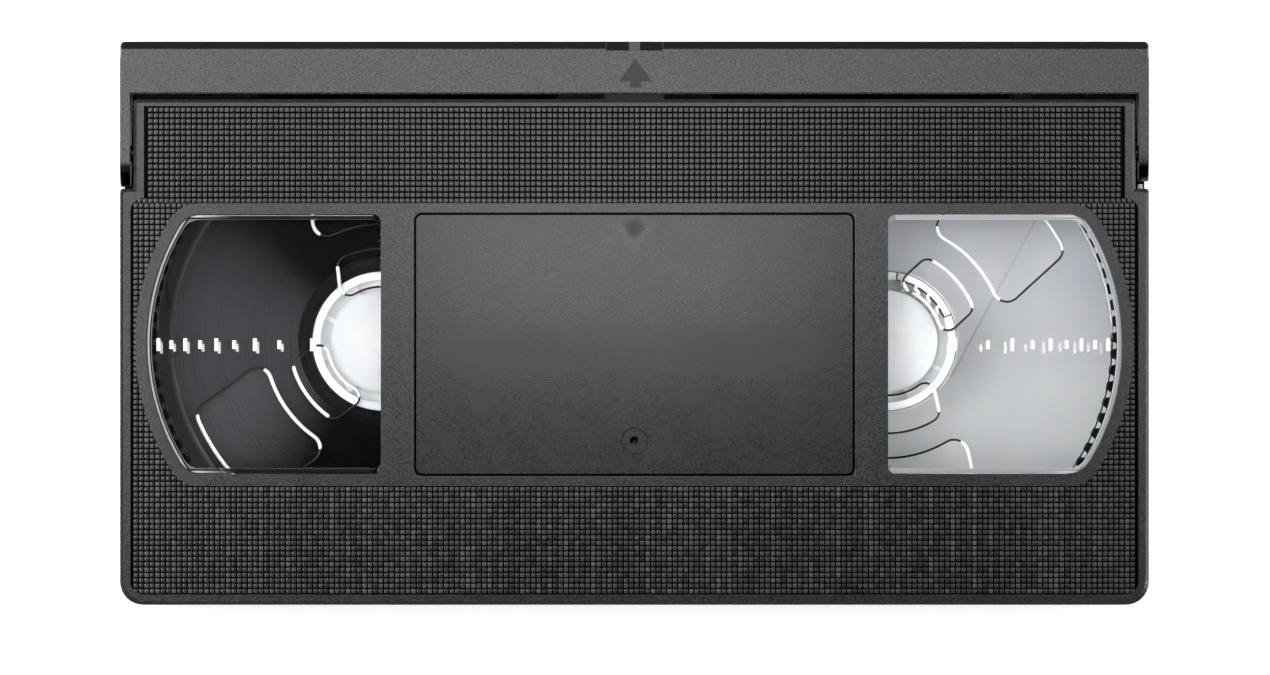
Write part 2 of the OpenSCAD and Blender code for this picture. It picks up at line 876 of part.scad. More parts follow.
// Hub and lower flange in one moulding, with the clip's notch at the given angle
module reel_base(x, clip_angle) {
    spline_count = 6;
    color(hub_color) translate([x, reel_y, 0]) rotate([0, 0, clip_angle]) {
        difference() {
            union() {
                rotate_extrude($fn = 96) hub_section();
                translate([0, 0, flange_z]) linear_extrude(flange_t) difference() {
                    toothed_disc();
                    circle(hub_r - 0.4, $fn = 96);
                }
            }
            translate([0, 0, clip_seat_z]) linear_extrude(shell_h) {
                ring_sector(clip_face_r - 0.25, hub_r + 1, -clip_half_angle, clip_half_angle);
            }
            translate([0, 0, well_z]) linear_extrude(shell_h) {
                ring_sector(cup_r + 0.4, hub_r + 1, -clip_half_angle, clip_half_angle);
            }
        }
        for (i = [1:360 / rib_angle - 1]) {
            rotate([0, 0, i * rib_angle]) translate([cup_r - 0.2, -0.4, well_z - 0.2]) {
                cube([hub_r - rim_t - cup_r + 0.4, 0.8, 1.5]);
            }
        }
        for (i = [0:spline_count - 1]) {
            rotate([0, 0, (i + 0.5) * 360 / spline_count]) {
                translate([pilot_r + 0.3, -0.9, skirt_z + 1.6]) {
                    cube([socket_r + 0.4 - pilot_r - 0.3, 1.8, pilot_z - skirt_z - 1.5]);
                }
            }
        }
    }
}

module supply_hub() {
    reel_base(-reel_x, supply_clip_angle);
}

module takeup_hub() {
    reel_base(reel_x, takeup_clip_angle);
}

// Opening in a clear flange: two arcs joined by sides that run along its middle line
module flange_opening(r_in, r_out, half_w, corner) {
    offset(r = corner, $fn = 32) offset(delta = -corner) intersection() {
        difference() {
            circle(r_out, $fn = 160);
            circle(r_in, $fn = 120);
        }
        translate([0, -half_w]) square([r_out, 2 * half_w]);
    }
}

// Clear upper flange with three large and three small openings and a centre pip
module top_flange(x, angle) {
    color(clear_color) translate([x, reel_y, top_flange_z]) {
        linear_extrude(top_flange_t) difference() {
            circle(top_flange_r, $fn = 180);
            for (i = [0:2]) {
                rotate(angle + 120 * i) {
                    flange_opening(21.3, 36.4, 10.1, 2.6);
                    flange_opening(9.9, 16.8, 6.5, 1.8);
                }
            }
        }
        translate([0, 0, top_flange_t - 0.1]) cylinder(h = 1.2, r1 = 2.4, r2 = 1);
    }
}

module supply_top_flange() {
    top_flange(-reel_x, supply_flange_angle);
}

module takeup_top_flange() {
    top_flange(reel_x, takeup_flange_angle);
}

// Ring of wound tape or leader between two radii
module winding(x, r_in, r_out, tint) {
    color(tint) translate([x, reel_y, tape_z]) difference() {
        cylinder(h = tape_w, r = r_out, $fn = 128);
        translate([0, 0, -past]) cylinder(h = tape_w + 2 * past, r = r_in, $fn = 96);
    }
}

module supply_leader_wrap() {
    winding(-reel_x, hub_r + wind_gap, leader_wrap_r, tape_color);
}

module supply_tape_pack() {
    winding(-reel_x, leader_wrap_r + 0.05, pack_r, tape_color);
}

module takeup_leader_wrap() {
    winding(reel_x, hub_r + wind_gap, takeup_wrap_r, clear_color);
}

// Clip that holds the leader's end in the hub: a curved face with four springy fins
module leader_clip(x, angle) {
    face_half = clip_half_angle - 1.2;
    fin_in_r = 10.1;
    fin_out_r = 11.2;
    clip_top_z = hub_top_z - 0.1;
    color(hub_color) translate([x, reel_y, 0]) rotate([0, 0, angle]) {
        translate([0, 0, clip_seat_z + 0.1]) linear_extrude(clip_top_z - clip_seat_z - 0.1) {
            ring_sector(clip_face_r, hub_r, -face_half, face_half, $fn = 96);
        }
        translate([0, 0, well_z + 0.1]) linear_extrude(clip_top_z - well_z - 0.1) {
            for (a = [-21, -7, 7, 21]) {
                rotate(a) {
                    translate([fin_out_r, 0]) ring_sector(0.25, 0.85, -10, 190, $fn = 32);
                    translate([fin_in_r, 0]) ring_sector(0.25, 0.85, 170, 370, $fn = 32);
                }
            }
        }
    }
}

module supply_leader_clip() {
    leader_clip(-reel_x, supply_clip_angle);
}

module takeup_leader_clip() {
    leader_clip(reel_x, takeup_clip_angle);
}

// Angle of the outward normal of the straight stretch that touches two circles on one side
function touch_angle(c1, r1, c2, r2, side) =
    let (d = c2 - c1) atan2(d.y, d.x) + side * acos((r1 - r2) / norm(d));

// Arc of a circle as points, both ends included
function arc_points(c, r, from, to, steps) = [
    for (i = [0:steps]) c + polar(r, from + (to - from) * i / steps)
];

// Leader stretched from the supply pack round the corner guides to the take-up hub
module leader_tape() {
    supply_at = [-reel_x, reel_y];
    takeup_at = [reel_x, reel_y];
    supply_r = pack_r + tape_off;
    takeup_r = takeup_wrap_r + tape_off;
    roller_out = roller_r + tape_off;
    post_out = right_post_r + tape_off;
    left_a = touch_angle(supply_at, supply_r, roller_at, roller_out, 1);
    right_a = touch_angle(takeup_at, takeup_r, right_post_at, post_out, -1);
    color(clear_color) translate([0, 0, tape_z]) linear_extrude(tape_w) {
        polygon(concat(
            [supply_at + polar(supply_r, left_a)],
            arc_points(roller_at, roller_out, left_a, 90, 8),
            arc_points(right_post_at, post_out, 90, right_a, 8),
            [takeup_at + polar(takeup_r, right_a)],
            [takeup_at + polar(takeup_r + tape_t, right_a)],
            arc_points(right_post_at, post_out + tape_t, right_a, 90, 8),
            arc_points(roller_at, roller_out + tape_t, 90, left_a, 8),
            [supply_at + polar(supply_r + tape_t, left_a)]
        ));
    }
}

// Plastic roller that turns with the tape in the left corner
module guide_roller() {
    color(hub_color) translate([roller_at.x, roller_at.y, guide_foot_z + 0.1]) {
        rotate_extrude() {
            translate([roller_pin_r + running_gap, 0]) {
                square([roller_r - roller_pin_r - running_gap, tape_w + 0.7]);
            }
        }
    }
}

module guide_roller_pin() {
    color(steel_color) translate([roller_at.x, roller_at.y, 1]) {
        cylinder(h = guide_top_z - 1, r = roller_pin_r);
    }
}

module left_guide_post() {
    color(steel_color) translate([left_post_at.x, left_post_at.y, 1]) {
        cylinder(h = guide_top_z - 1, r = left_post_r);
    }
}

module right_guide_post() {
    color(steel_color) translate([right_post_at.x, right_post_at.y, 1]) {
        cylinder(h = guide_top_z - 1, r = right_post_r);
    }
}

// Thin bowed strip with a felt face that keeps the tape against the left post
module tension_pad() {
    pad_y = face_y - 3.05;
    color([0.55, 0.42, 0.3]) translate([0, 0, tape_z + 1.3]) linear_extrude(tape_w - 2.6) {
        polygon([
            [-81.2, pad_y],
            [-80.4, pad_y - 0.1],
            [-77.6, pad_y - 0.1],
            [-76.8, pad_y],
            [-74.2, pad_y + 0.5],
            [-74.2, pad_y + 0.8],
            [-77, pad_y + 0.4],
            [-81, pad_y + 0.4]
        ]);
    }
}

// Brake lever: a tall hub, a low arm with the pawl and a high tail that the release pushes
module brake_lever(s) {
    tail_z = 11.5;
    tail_t = 2;
    pawl_z = 3;
    tip_x = 16;
    tip_y = 27.05;
    mirror([s > 0 ? 0 : 1, 0, 0]) color(lever_color) difference() {
        union() {
            translate([brake_at.x, brake_at.y, wall_t + 0.5]) {
                cylinder(h = tail_z + tail_t - wall_t - 0.5, r = brake_hub_r);
            }
            translate([0, 0, pawl_z]) linear_extrude(2) polygon([
                [tip_x, tip_y],
                [tip_x + 0.9, tip_y + 1.7],
                [brake_at.x + 2.2, brake_at.y - 1.6],
                [brake_at.x - 2.2, brake_at.y - 1.6],
                [tip_x - 3, tip_y + 2.6],
                [tip_x - 1.6, tip_y + 0.4]
            ]);
            translate([5.5, brake_at.y - 0.8, tail_z]) cube([brake_at.x - 5.5, 2, tail_t]);
        }
        translate([brake_at.x, brake_at.y, 0]) {
            cylinder(h = shell_h, r = brake_post_r + running_gap);
        }
    }
}

module brake_lever_left() {
    brake_lever(-1);
}

module brake_lever_right() {
    brake_lever(1);
}

// Torsion spring on a brake post, above the lever's hub
module brake_spring(s) {
    wire_r = 0.25;
    path = wire_path(2.1, 3.25, 0.95, 2.2, 7.5);
    echo(str("least gap of a brake spring: ", least_gap(path, wire_r)));
    mirror([s > 0 ? 0 : 1, 0, 0]) color(steel_color) {
        translate([brake_at.x, brake_at.y, 14.1]) rotate([0, 0, 90]) wire(path, wire_r);
    }
}

module brake_spring_left() {
    brake_spring(-1);
}

module brake_spring_right() {
    brake_spring(1);
}

// Release lever: a foot over the hole in the floor and a wide upright that moves both brakes
module brake_release_lever() {
    upright_top_z = 13.5;
    foot_low_z = 3.5;
    color(lever_color) {
        translate([-release_half, release_y, release_z]) rotate([0, 90, 0]) {
            cylinder(h = 2 * release_half, r = 2);
        }
        translate([-release_half - 2, release_y, release_z]) rotate([0, 90, 0]) {
            cylinder(h = 2 * (release_half + 2), r = release_pin_r);
        }
        translate([-release_half, release_y - 0.8, release_z]) {
            cube([2 * release_half, 1.6, upright_top_z - release_z]);
        }
        translate([-2.6, release_hole_y - 1.8, release_z - 1.4]) {
            cube([5.2, release_y - release_hole_y + 1.8, 1.8]);
        }
        translate([0, release_hole_y, foot_low_z]) {
            cylinder(h = release_z - foot_low_z, r = 1.8);
        }
    }
}

function spring_top_z() = top_under_z - 0.1;

// Leaf spring staked under the label, whose two arms press on the reels' centre pips
module reel_spring() {
    leaf_t = 0.4;
    arm_low_z = top_flange_z + top_flange_t + 1.3;
    flat_x = 11;
    bend_x = reel_x - 3.4;
    tip_x = reel_x - 0.2;
    line = [
        [-tip_x, arm_low_z + 0.5],
        [-bend_x, arm_low_z],
        [-flat_x, spring_top_z() - leaf_t],
        [flat_x, spring_top_z() - leaf_t],
        [bend_x, arm_low_z],
        [tip_x, arm_low_z + 0.5]
    ];
    upper = [for (i = [len(line) - 1:-1:0]) line[i] + [0, leaf_t]];
    color(steel_color) difference() {
        intersection() {
            translate([0, reel_y + 5, 0]) rotate([90, 0, 0]) linear_extrude(10) {
                polygon(concat(line, upper));
            }
            translate([0, reel_y, 0]) linear_extrude(shell_h) polygon([
                [-tip_x, -2],
                [-flat_x, -4.5],
                [flat_x, -4.5],
                [tip_x, -2],
                [tip_x, 2],
                [flat_x, 4.5],
                [-flat_x, 4.5],
                [-tip_x, 2]
            ]);
        }
        for (s = [-1, 1]) translate([s * 5, reel_y, 0]) cylinder(h = shell_h, r = 1.2);
    }
}

// Five screws put in from below, each a head and a stepped shank
module case_screws() {
    for (p = screw_at) {
        color(steel_color) translate([p.x, p.y, 0]) difference() {
            union() {
                translate([0, 0, screw_head_z]) {
                    cylinder(h = screw_seat_z - screw_head_z - 0.02, r = screw_head_r);
                }
                cylinder(h = seam_z - screw_head_z, r = 1.4);
                translate([0, 0, screw_head_z]) cylinder(h = screw_tip_z - screw_head_z, r = 1.1);
            }
            translate([0, 0, -past]) cylinder(h = screw_head_z + past, r = screw_head_r);
            for (turn = [0, 90]) {
                rotate([0, 0, turn]) translate([-1.6, -0.35, 0]) cube([3.2, 0.7, screw_head_z + 1]);
            }
        }
    }
}

lower_shell();
upper_shell();
window_left();
window_right();
front_lid();
lid_spring();
lid_lock();
supply_hub();
supply_top_flange();
supply_leader_wrap();
supply_tape_pack();
supply_leader_clip();
takeup_hub();
takeup_top_flange();
takeup_leader_wrap();
takeup_leader_clip();
leader_tape();
guide_roller();
guide_roller_pin();
left_guide_post();
right_guide_post();
tension_pad();
brake_lever_left();
brake_lever_right();
brake_spring_left();
brake_spring_right();
brake_release_lever();
reel_spring();
case_screws();
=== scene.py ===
import math

import bmesh
import bpy
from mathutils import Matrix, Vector


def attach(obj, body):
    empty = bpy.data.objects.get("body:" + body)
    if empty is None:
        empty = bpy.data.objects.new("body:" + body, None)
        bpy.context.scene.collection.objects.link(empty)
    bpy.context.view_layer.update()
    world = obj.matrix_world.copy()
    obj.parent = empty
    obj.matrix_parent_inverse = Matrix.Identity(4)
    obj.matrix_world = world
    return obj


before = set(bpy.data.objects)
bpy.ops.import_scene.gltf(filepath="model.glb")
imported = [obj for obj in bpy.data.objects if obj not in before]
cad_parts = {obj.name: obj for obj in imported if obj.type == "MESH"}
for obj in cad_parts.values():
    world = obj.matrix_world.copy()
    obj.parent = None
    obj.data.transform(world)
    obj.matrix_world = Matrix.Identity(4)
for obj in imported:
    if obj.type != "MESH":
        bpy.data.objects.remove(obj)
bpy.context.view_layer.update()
scene = bpy.context.scene
mm = 0.001


# ---------------------------------------------------------------- Camera
# A long lens looks straight down on the cassette, with the lid towards the top of the picture.
# It stands three metres over the top face and takes in 231 mm of the table from side to side.

view_width, stand_off, top_face = 0.2308, 3, 25 * mm
lens = bpy.data.cameras.new("long_lens")
lens.sensor_width = 36
lens.lens = lens.sensor_width / view_width * stand_off
camera = bpy.data.objects.new("camera", lens)
camera.location = (0.1 * mm, -2.6 * mm, top_face + stand_off)
scene.collection.objects.link(camera)
scene.camera = camera


# ---------------------------------------------------------------- Table and light
# A white paper sweep between two plain soft lamps, with small low ones over the lid, the label and both ends.
# The paper is lit to white by itself for the camera and still takes the cassette's shadow. Where the cassette
# covers it, it is painted black from above, a painted shadow, and lets the light of a lamp beneath through to
# the underside.

class Value:
    """A number that runs through a material or a geometry tree and is used like any number."""

    def __init__(self, tree, socket):
        self.tree, self.socket = tree, socket

    def maths(self, operation, *numbers):
        return self.tree.node("ShaderNodeMath", {"operation": operation}, dict(enumerate(numbers)))

    def __add__(self, other):
        return self.maths("ADD", self, other)

    __radd__ = __add__

    def __sub__(self, other):
        return self.maths("SUBTRACT", self, other)

    def __rsub__(self, other):
        return self.maths("SUBTRACT", other, self)

    def __mul__(self, other):
        return self.maths("MULTIPLY", self, other)

    __rmul__ = __mul__

    def __truediv__(self, other):
        return self.maths("DIVIDE", self, other)

    def __rtruediv__(self, other):
        return self.maths("DIVIDE", other, self)

    def __pow__(self, other):
        return self.maths("POWER", self, other)

    def __abs__(self):
        return self.maths("ABSOLUTE", self)

    def __gt__(self, other):
        return self.maths("GREATER_THAN", self, other)

    def __lt__(self, other):
        return self.maths("LESS_THAN", self, other)

    def also(self, output):
        return Value(self.tree, self.socket.node.outputs[output])


class Tree:
    """A node tree, with one way of adding a node to it."""

    def __init__(self, tree):
        self.tree = tree

    def node(self, kind, settings=None, sockets=None, output=0):
        made = self.tree.nodes.new(kind)
        for name, value in (settings or {}).items():
            if name == "stops":
                stops = made.color_ramp.elements
                while len(stops) < len(value):
                    stops.new(0.5)
                for stop, (position, colour) in zip(stops, value):
                    stop.position, stop.color = position, (*colour, 1)
            else:
                setattr(made, name, value)
        for key, value in (sockets or {}).items():
            if isinstance(value, Value):
                self.tree.links.new(value.socket, made.inputs[key])
            else:
                made.inputs[key].default_value = value
        return Value(self, made.outputs[output]) if made.outputs else made

    def larger(self, a, b):
        return self.node("ShaderNodeMath", {"operation": "MAXIMUM"}, {0: a, 1: b})

    def smaller(self, a, b):
        return self.node("ShaderNodeMath", {"operation": "MINIMUM"}, {0: a, 1: b})

    def length(self, a, b):
        return (a * a + b * b) ** 0.5


def studio_paper(colour, camera_glow):
    corner_x, corner_y, corner_r = 89.3 * mm, 47.0 * mm, 4.13 * mm
    mouth_y, arm_x, arm_y = 42.0 * mm, 92.2 * mm, 29.6 * mm
    material = bpy.data.materials.new("paper_sweep")
    material.use_nodes = True
    material.node_tree.nodes.clear()
    paper = Tree(material.node_tree)
    rays = paper.node("ShaderNodeLightPath", output="Is Camera Ray")
    seen = paper.larger(rays, paper.larger(rays.also("Is Glossy Ray"), rays.also("Is Transmission Ray")))
    place = paper.node("ShaderNodeTexCoord", output="Object")
    across = paper.node("ShaderNodeSeparateXYZ", {}, {0: place})
    side, ahead = abs(across), across.also("Y")
    past_corner = paper.length(paper.larger(side - corner_x, 0.0), paper.larger(abs(ahead) - corner_y, 0.0))
    covered = (past_corner < corner_r) * (ahead < mouth_y) * paper.larger(side < arm_x, ahead < arm_y)
    fibres = paper.node("ShaderNodeTexNoise", {}, {"Vector": place, "Scale": 900.0, "Detail": 4.0})
    tone = paper.node("ShaderNodeMix", {"data_type": "RGBA"},
                      {0: fibres, 6: (*[c * 0.985 for c in colour], 1), 7: (*colour, 1)}, output=2)
    # Painted shadow: under the cassette the paper's colour and its glow are cut to black.
    tone = paper.node("ShaderNodeVectorMath", {"operation": "SCALE"}, {0: tone, "Scale": 1 - covered})
    lit = paper.node("ShaderNodeBsdfDiffuse", {}, {"Color": tone})
    glow = paper.node("ShaderNodeEmission", {}, {
        "Color": (1, 1, 1, 1), "Strength": seen * (1 - covered) * camera_glow})
    white = paper.node("ShaderNodeAddShader", {}, {0: lit, 1: glow})
    from_beneath = paper.node("ShaderNodeNewGeometry", output="Backfacing")
    clear = paper.larger(from_beneath, covered * rays.also("Is Shadow Ray"))
    open_air = paper.node("ShaderNodeBsdfTransparent")
    sheet = paper.node("ShaderNodeMixShader", {}, {0: clear, 1: white, 2: open_air})
    paper.node("ShaderNodeOutputMaterial", {}, {"Surface": sheet})
    return material


def table_top(half_size, height):
    sheet = bpy.data.meshes.new("table")
    corners = [(x * half_size, y * half_size, height) for x, y in ((-1, -1), (1, -1), (1, 1), (-1, 1))]
    sheet.from_pydata(corners, [], [(0, 1, 2, 3)])
    table = bpy.data.objects.new("table", sheet)
    scene.collection.objects.link(table)
    sheet.materials.append(studio_paper(colour=(0.86, 0.86, 0.86), camera_glow=0.50))


def soft_lamp(name, at, towards, width, depth, power):
    light = bpy.data.lights.new(name, "AREA")
    light.shape = "RECTANGLE"
    light.size, light.size_y, light.energy = width, depth, power
    lamp = bpy.data.objects.new(name, light)
    lamp.location = at
    lamp.rotation_euler = (Vector(towards) - Vector(at)).to_track_quat("-Z", "Y").to_euler()
    lamp.visible_camera = False
    scene.collection.objects.link(lamp)


def studio_air(level, overhead):
    """Even light from all round, all but dark overhead, where the windows mirror it to the camera."""
    world = bpy.data.worlds.new("studio")
    world.use_nodes = True
    world.node_tree.nodes.clear()
    air = Tree(world.node_tree)
    seen = air.node("ShaderNodeLightPath", output="Is Camera Ray")
    way = air.node("ShaderNodeTexCoord", output="Generated")
    rise = air.node("ShaderNodeSeparateXYZ", {}, {0: way}, output="Z")
    ceiling = air.node("ShaderNodeMapRange", {"interpolation_type": "SMOOTHSTEP"}, {
        "Value": rise, "From Min": 0.72, "From Max": 0.97, "To Min": level, "To Max": overhead})
    glow = air.node("ShaderNodeBackground", {}, {
        "Color": (1, 1, 1, 1), "Strength": ceiling * (1 - seen) + seen})
    air.node("ShaderNodeOutputWorld", {}, {"Surface": glow})
    scene.world = world


table_top(half_size=3.0, height=-0.02 * mm)
for name, at, towards, width, depth, power in (
        ("lamp_beyond_lid", (-0.03, 0.084, 0.20), (-0.03, 0.084, 0.0), 0.28, 0.112, 0.26),
        ("lamp_beneath", (0.0, 0.0, -0.50), (0.0, 0.0, 0.0), 0.80, 0.60, 4.0),
        ("lamp_over_label", (-0.004, 0.0105, 0.16), (-0.004, 0.0105, 0.0), 0.080, 0.026, 0.034),
        ("lamp_over_left_side", (-0.125, 0.006, 0.20), (-0.125, 0.006, 0.0), 0.050, 0.085, 0.050),
        ("lamp_over_right_side", (0.125, 0.006, 0.20), (0.125, 0.006, 0.0), 0.050, 0.075, 0.036),
        ("lamp_left", (-0.46, 0.0, 0.55), (-0.03, 0.0, 0.02), 0.30, 0.55, 3.8),
        ("lamp_right", (0.90, -0.06, 0.60), (0.0, 0.0, 0.02), 0.45, 0.60, 6.8)):
    soft_lamp(name, at, towards, width, depth, power)
studio_air(level=0.26, overhead=0.0078)
scene.view_settings.view_transform = "Standard"


# ---------------------------------------------------------------- Lower shell half
# The lower half is moulded in near-black plastic with floor, wells, pockets and screw bosses in one.
# Its outside is spark-eroded to a fine grain, and the flats it slides on are rubbed smoother.

class Finish(Tree):
    """The finish of a plastic, metal or film. Its pattern lies on the piece, measured in millimetres."""

    def __init__(self, name, **fixed):
        self.material = bpy.data.materials.new(name)
        self.material.use_nodes = True
        super().__init__(self.material.node_tree)
        self.shader = self.tree.nodes["Principled BSDF"]
        for socket, value in fixed.items():
            self.shader.inputs[socket.replace("_", " ")].default_value = value
        self.place = self.node("ShaderNodeTexCoord", output="Object")
        across = self.node("ShaderNodeSeparateXYZ", {}, {0: self.place})
        self.x, self.y, self.z = across * 1000, across.also("Y") * 1000, across.also("Z") * 1000

    def noise(self, size, detail=2.0, stretch=(1, 1, 1), roughness=0.5):
        place = self.place
        if stretch != (1, 1, 1):
            place = self.node("ShaderNodeMapping", {}, {"Vector": place, "Scale": stretch})
        return self.node("ShaderNodeTexNoise", {}, {
            "Vector": place, "Scale": 1000 / size, "Detail": detail, "Roughness": roughness})

    def step(self, value, low, high):
        """0 below low and 1 above high, with a smooth rise between; low may be the higher one."""
        if low > high:
            return 1 - self.step(value, high, low)
        return self.node("ShaderNodeMapRange", {"interpolation_type": "SMOOTHSTEP"},
                         {"Value": value, "From Min": low, "From Max": high})

    def within(self, value, low, high, soft=0.05):
        return self.step(value, low - soft, low + soft) * self.step(value, high + soft, high - soft)

    def blend(self, factor, first, second):
        first, second = [c if isinstance(c, Value) else (*c, 1) for c in (first, second)]
        return self.node("ShaderNodeMix", {"data_type": "RGBA"}, {0: factor, 6: first, 7: second}, output=2)

    def shaded(self, colour, level):
        """The colour times a number that changes over the surface."""
        return self.node("ShaderNodeVectorMath", {"operation": "SCALE"}, {0: colour, "Scale": level})

    def send(self, socket, value):
        """Links a value that changes over the surface to a socket of the shader."""
        self.tree.links.new(value.socket, self.shader.inputs[socket])

    def give(self, colour, roughness, height):
        """Sends the colour, the roughness and the height of the surface, in millimetres, to the shader."""
        slope = self.node("ShaderNodeBump", {}, {
            "Height": height, "Distance": mm, "Strength": 1.0, "Filter Width": 0.2})
        for socket, value in (("Base Color", colour), ("Roughness", roughness), ("Normal", slope)):
            self.send(socket, value)


def dress(finish, *names):
    """Gives CAD pieces their finish."""
    for name in names:
        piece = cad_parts[name]
        if not piece.material_slots:
            piece.data.materials.append(finish.material)
        for slot in piece.material_slots:
            slot.material = finish.material


def lower_shell_finish():
    shell = Finish("shell_black_eroded", Specular_IOR_Level=0.5)
    flow = shell.noise(9, 3)
    grain = shell.noise(0.32, 3, roughness=0.65)
    scratches = shell.noise(0.35, 1, stretch=(1, 0.04, 1)) * shell.noise(4, 2)
    outside = shell.larger(shell.step(shell.z, 0.25, 0.1), shell.step(abs(shell.x), 93.2, 93.4))
    rubbed = shell.step(shell.z, 0.12, 0.02) * shell.step(scratches, 0.30, 0.42)
    colour = shell.blend(flow, (0.017, 0.017, 0.018), (0.024, 0.024, 0.026))
    colour = shell.blend(rubbed * 0.6, colour, (0.055, 0.055, 0.057))
    shell.give(colour, 0.46 + 0.10 * flow - 0.12 * rubbed + 0.04 * outside,
               grain * (0.006 + 0.012 * outside) + flow * 0.02)
    return shell


dress(lower_shell_finish(), "lower_shell")


# ---------------------------------------------------------------- Upper shell half
# The upper half is moulded in the same black plastic. Its rims and its raised frame are satin,
# the label's recess is a finer satin, and the sunk fields carry the moulded squares.

frame_arc_x, frame_arc_y, frame_arc_r = 47.17, -3.71, 43.57
frame_middle_y, frame_half_y, frame_corner_r = -3.9, 25.7, 6.4
field_half, field_low, field_wide_high = 91.6, -49.3, 22.76
field_neck, field_high = 89.16, 39.47
label_half, label_low, label_high = 40.1, -27.8, 20.1
label_groove = 0.6
sink_y, v_tip_y, v_slope, dish_y, dark_band_y = 17.3, 14.0, 0.8, -21.4, -4.3


def in_frame(tree, x, y, grow=0.0):
    """1 on the raised frame: two discs joined by a bar, cut straight in front and behind, corners round."""
    out, up = tree.larger(abs(x) - frame_arc_x, 0.0), abs(y - frame_middle_y)
    turn_y = frame_half_y - frame_corner_r
    turn_x = math.sqrt((frame_arc_r - frame_corner_r) ** 2 - turn_y ** 2)
    at_corner = (out > turn_x) * (up > out * (turn_y / turn_x))
    rounded = tree.length(out - turn_x, up - turn_y) > frame_corner_r + grow
    inside = (tree.length(out, y - frame_arc_y) < frame_arc_r + grow) * (up < frame_half_y + grow)
    return inside * (1 - at_corner * rounded)


def in_field(tree, x, y, shrink=0.0):
    """1 on the sunk fields round the frame."""
    wide = (abs(x) < field_half - shrink) * (y > field_low + shrink) * (y < field_wide_high - shrink)
    neck = (abs(x) < field_neck - shrink) * (y > 0.0) * (y < field_high - shrink)
    return tree.larger(wide, neck) * (1 - in_frame(tree, x, y, -shrink))


def upper_shell_finish():
    shell = Finish("shell_black_satin", Specular_IOR_Level=0.5)
    x, y, z = shell.x, shell.y, shell.z
    top = shell.step(z, 24.2, 24.35)
    raised = shell.step(z, 24.85, 24.95)
    label = shell.within(abs(x), -1, label_half) * shell.within(y, label_low, label_high) * top
    field = in_field(shell, x, y) * top * (1 - raised)
    on_frame = in_frame(shell, x, y) * raised * (1 - label)
    blotches = shell.noise(5.5, 4, roughness=0.6)
    grain = shell.noise(0.28, 1, roughness=0.6)
    flow = shell.noise(16, 2)

    # The sink mark near the label's top is painted darker, as painted shade of its hollow, and made rougher;
    # the lighter V along it is a painted highlight.
    sink_mark_shade = shell.step(shell.length(x, y - sink_y), 2.4, 0.5) * label
    sink_mark_shade = sink_mark_shade * shell.step(abs(x) - (y - v_tip_y - 0.8) * v_slope, 0.9, -0.6)
    sink_v_highlight = shell.step(abs(abs(x) - (y - v_tip_y) * v_slope), 1.3, 0.2) * label
    sink_v_highlight = sink_v_highlight * shell.within(y, v_tip_y + 0.2, v_tip_y + 4.0, 1.0)
    dish = shell.length(x, y - dish_y)
    gate = shell.step(dish, 2.36, 2.28) * label
    gate_edge = shell.within(dish, 2.2, 2.42) * top
    pit = shell.within(dish, 0.22, 0.82, 0.1) * label
    # A blurred band across the label's middle is painted darker and made rougher.
    dark_band = shell.step(abs(y - dark_band_y + shell.noise(14, 2) * 1.2), 5.5, 0.0) * shell.step(abs(x), 40, 24)
    dark_band = dark_band * (0.3 + 0.7 * shell.step(abs(x), 0, 16)) * label

    groove = shell.within(abs(x), -1, label_half + label_groove)
    groove = groove * shell.within(y, label_low - label_groove, label_high + label_groove)
    groove = groove * (1 - gate) * shell.step(z, 24.46, 24.38) * shell.step(z, 24.1, 24.16)
    # Painted shade: the field's floor between the squares, the strip under the lid, the label's groove and
    # the dish's rim and pit are painted near-black and made metallic, so they lose their sheen.
    under_lid = shell.step(y, 40.5, 40.7) * shell.step(z, 24.6, 24.2)
    painted_cavity_shade = field * shell.step(z, 24.86, 24.78)
    for dark in (under_lid, groove, gate_edge, pit * 0.9):
        painted_cavity_shade = shell.larger(painted_cavity_shade, dark)

    colour = shell.blend(flow, (0.011, 0.011, 0.0115), (0.015, 0.015, 0.0155))
    colour = shell.shaded(colour, 1 - 0.25 * label)
    colour = shell.blend(dark_band * 0.35 + sink_mark_shade * 0.6, colour, (0.004, 0.004, 0.004))
    colour = shell.blend(sink_v_highlight * 0.4, colour, (0.035, 0.035, 0.036))
    speck = shell.step(grain, 0.40, 0.60)
    contrast = 0.9 + 0.7 * on_frame - 0.3 * label
    colour = shell.shaded(colour, 1 + contrast * (speck - 0.5))
    # The cavities are painted near-black here as painted shade.
    colour = shell.blend(painted_cavity_shade, colour, (0.002, 0.002, 0.002))
    rough = 0.25 + 0.08 * blotches + 0.03 * on_frame - 0.12 * gate + 0.14 * dark_band + 0.25 * sink_mark_shade
    rough = rough + (speck - 0.5) * 0.05 * (1 - gate)
    height = grain * (0.014 + 0.012 * on_frame + 0.006 * label) * (1 - gate)
    height = height + blotches * 0.045 * (1 - label) + flow * 0.03 + dish * dish * 0.12 * gate
    shell.give(colour, rough, height)
    shell.send("Metallic", painted_cavity_shade)
    return shell


dress(upper_shell_finish(), "upper_shell")


# ---------------------------------------------------------------- Moulded squares of the fields
# Rows of small pillow-shaped squares stand on the sunk fields, a millimetre apart, for a firm grip.
# They were cut in the mould and are part of the upper half. Rear, side and front rows have their own pitch.

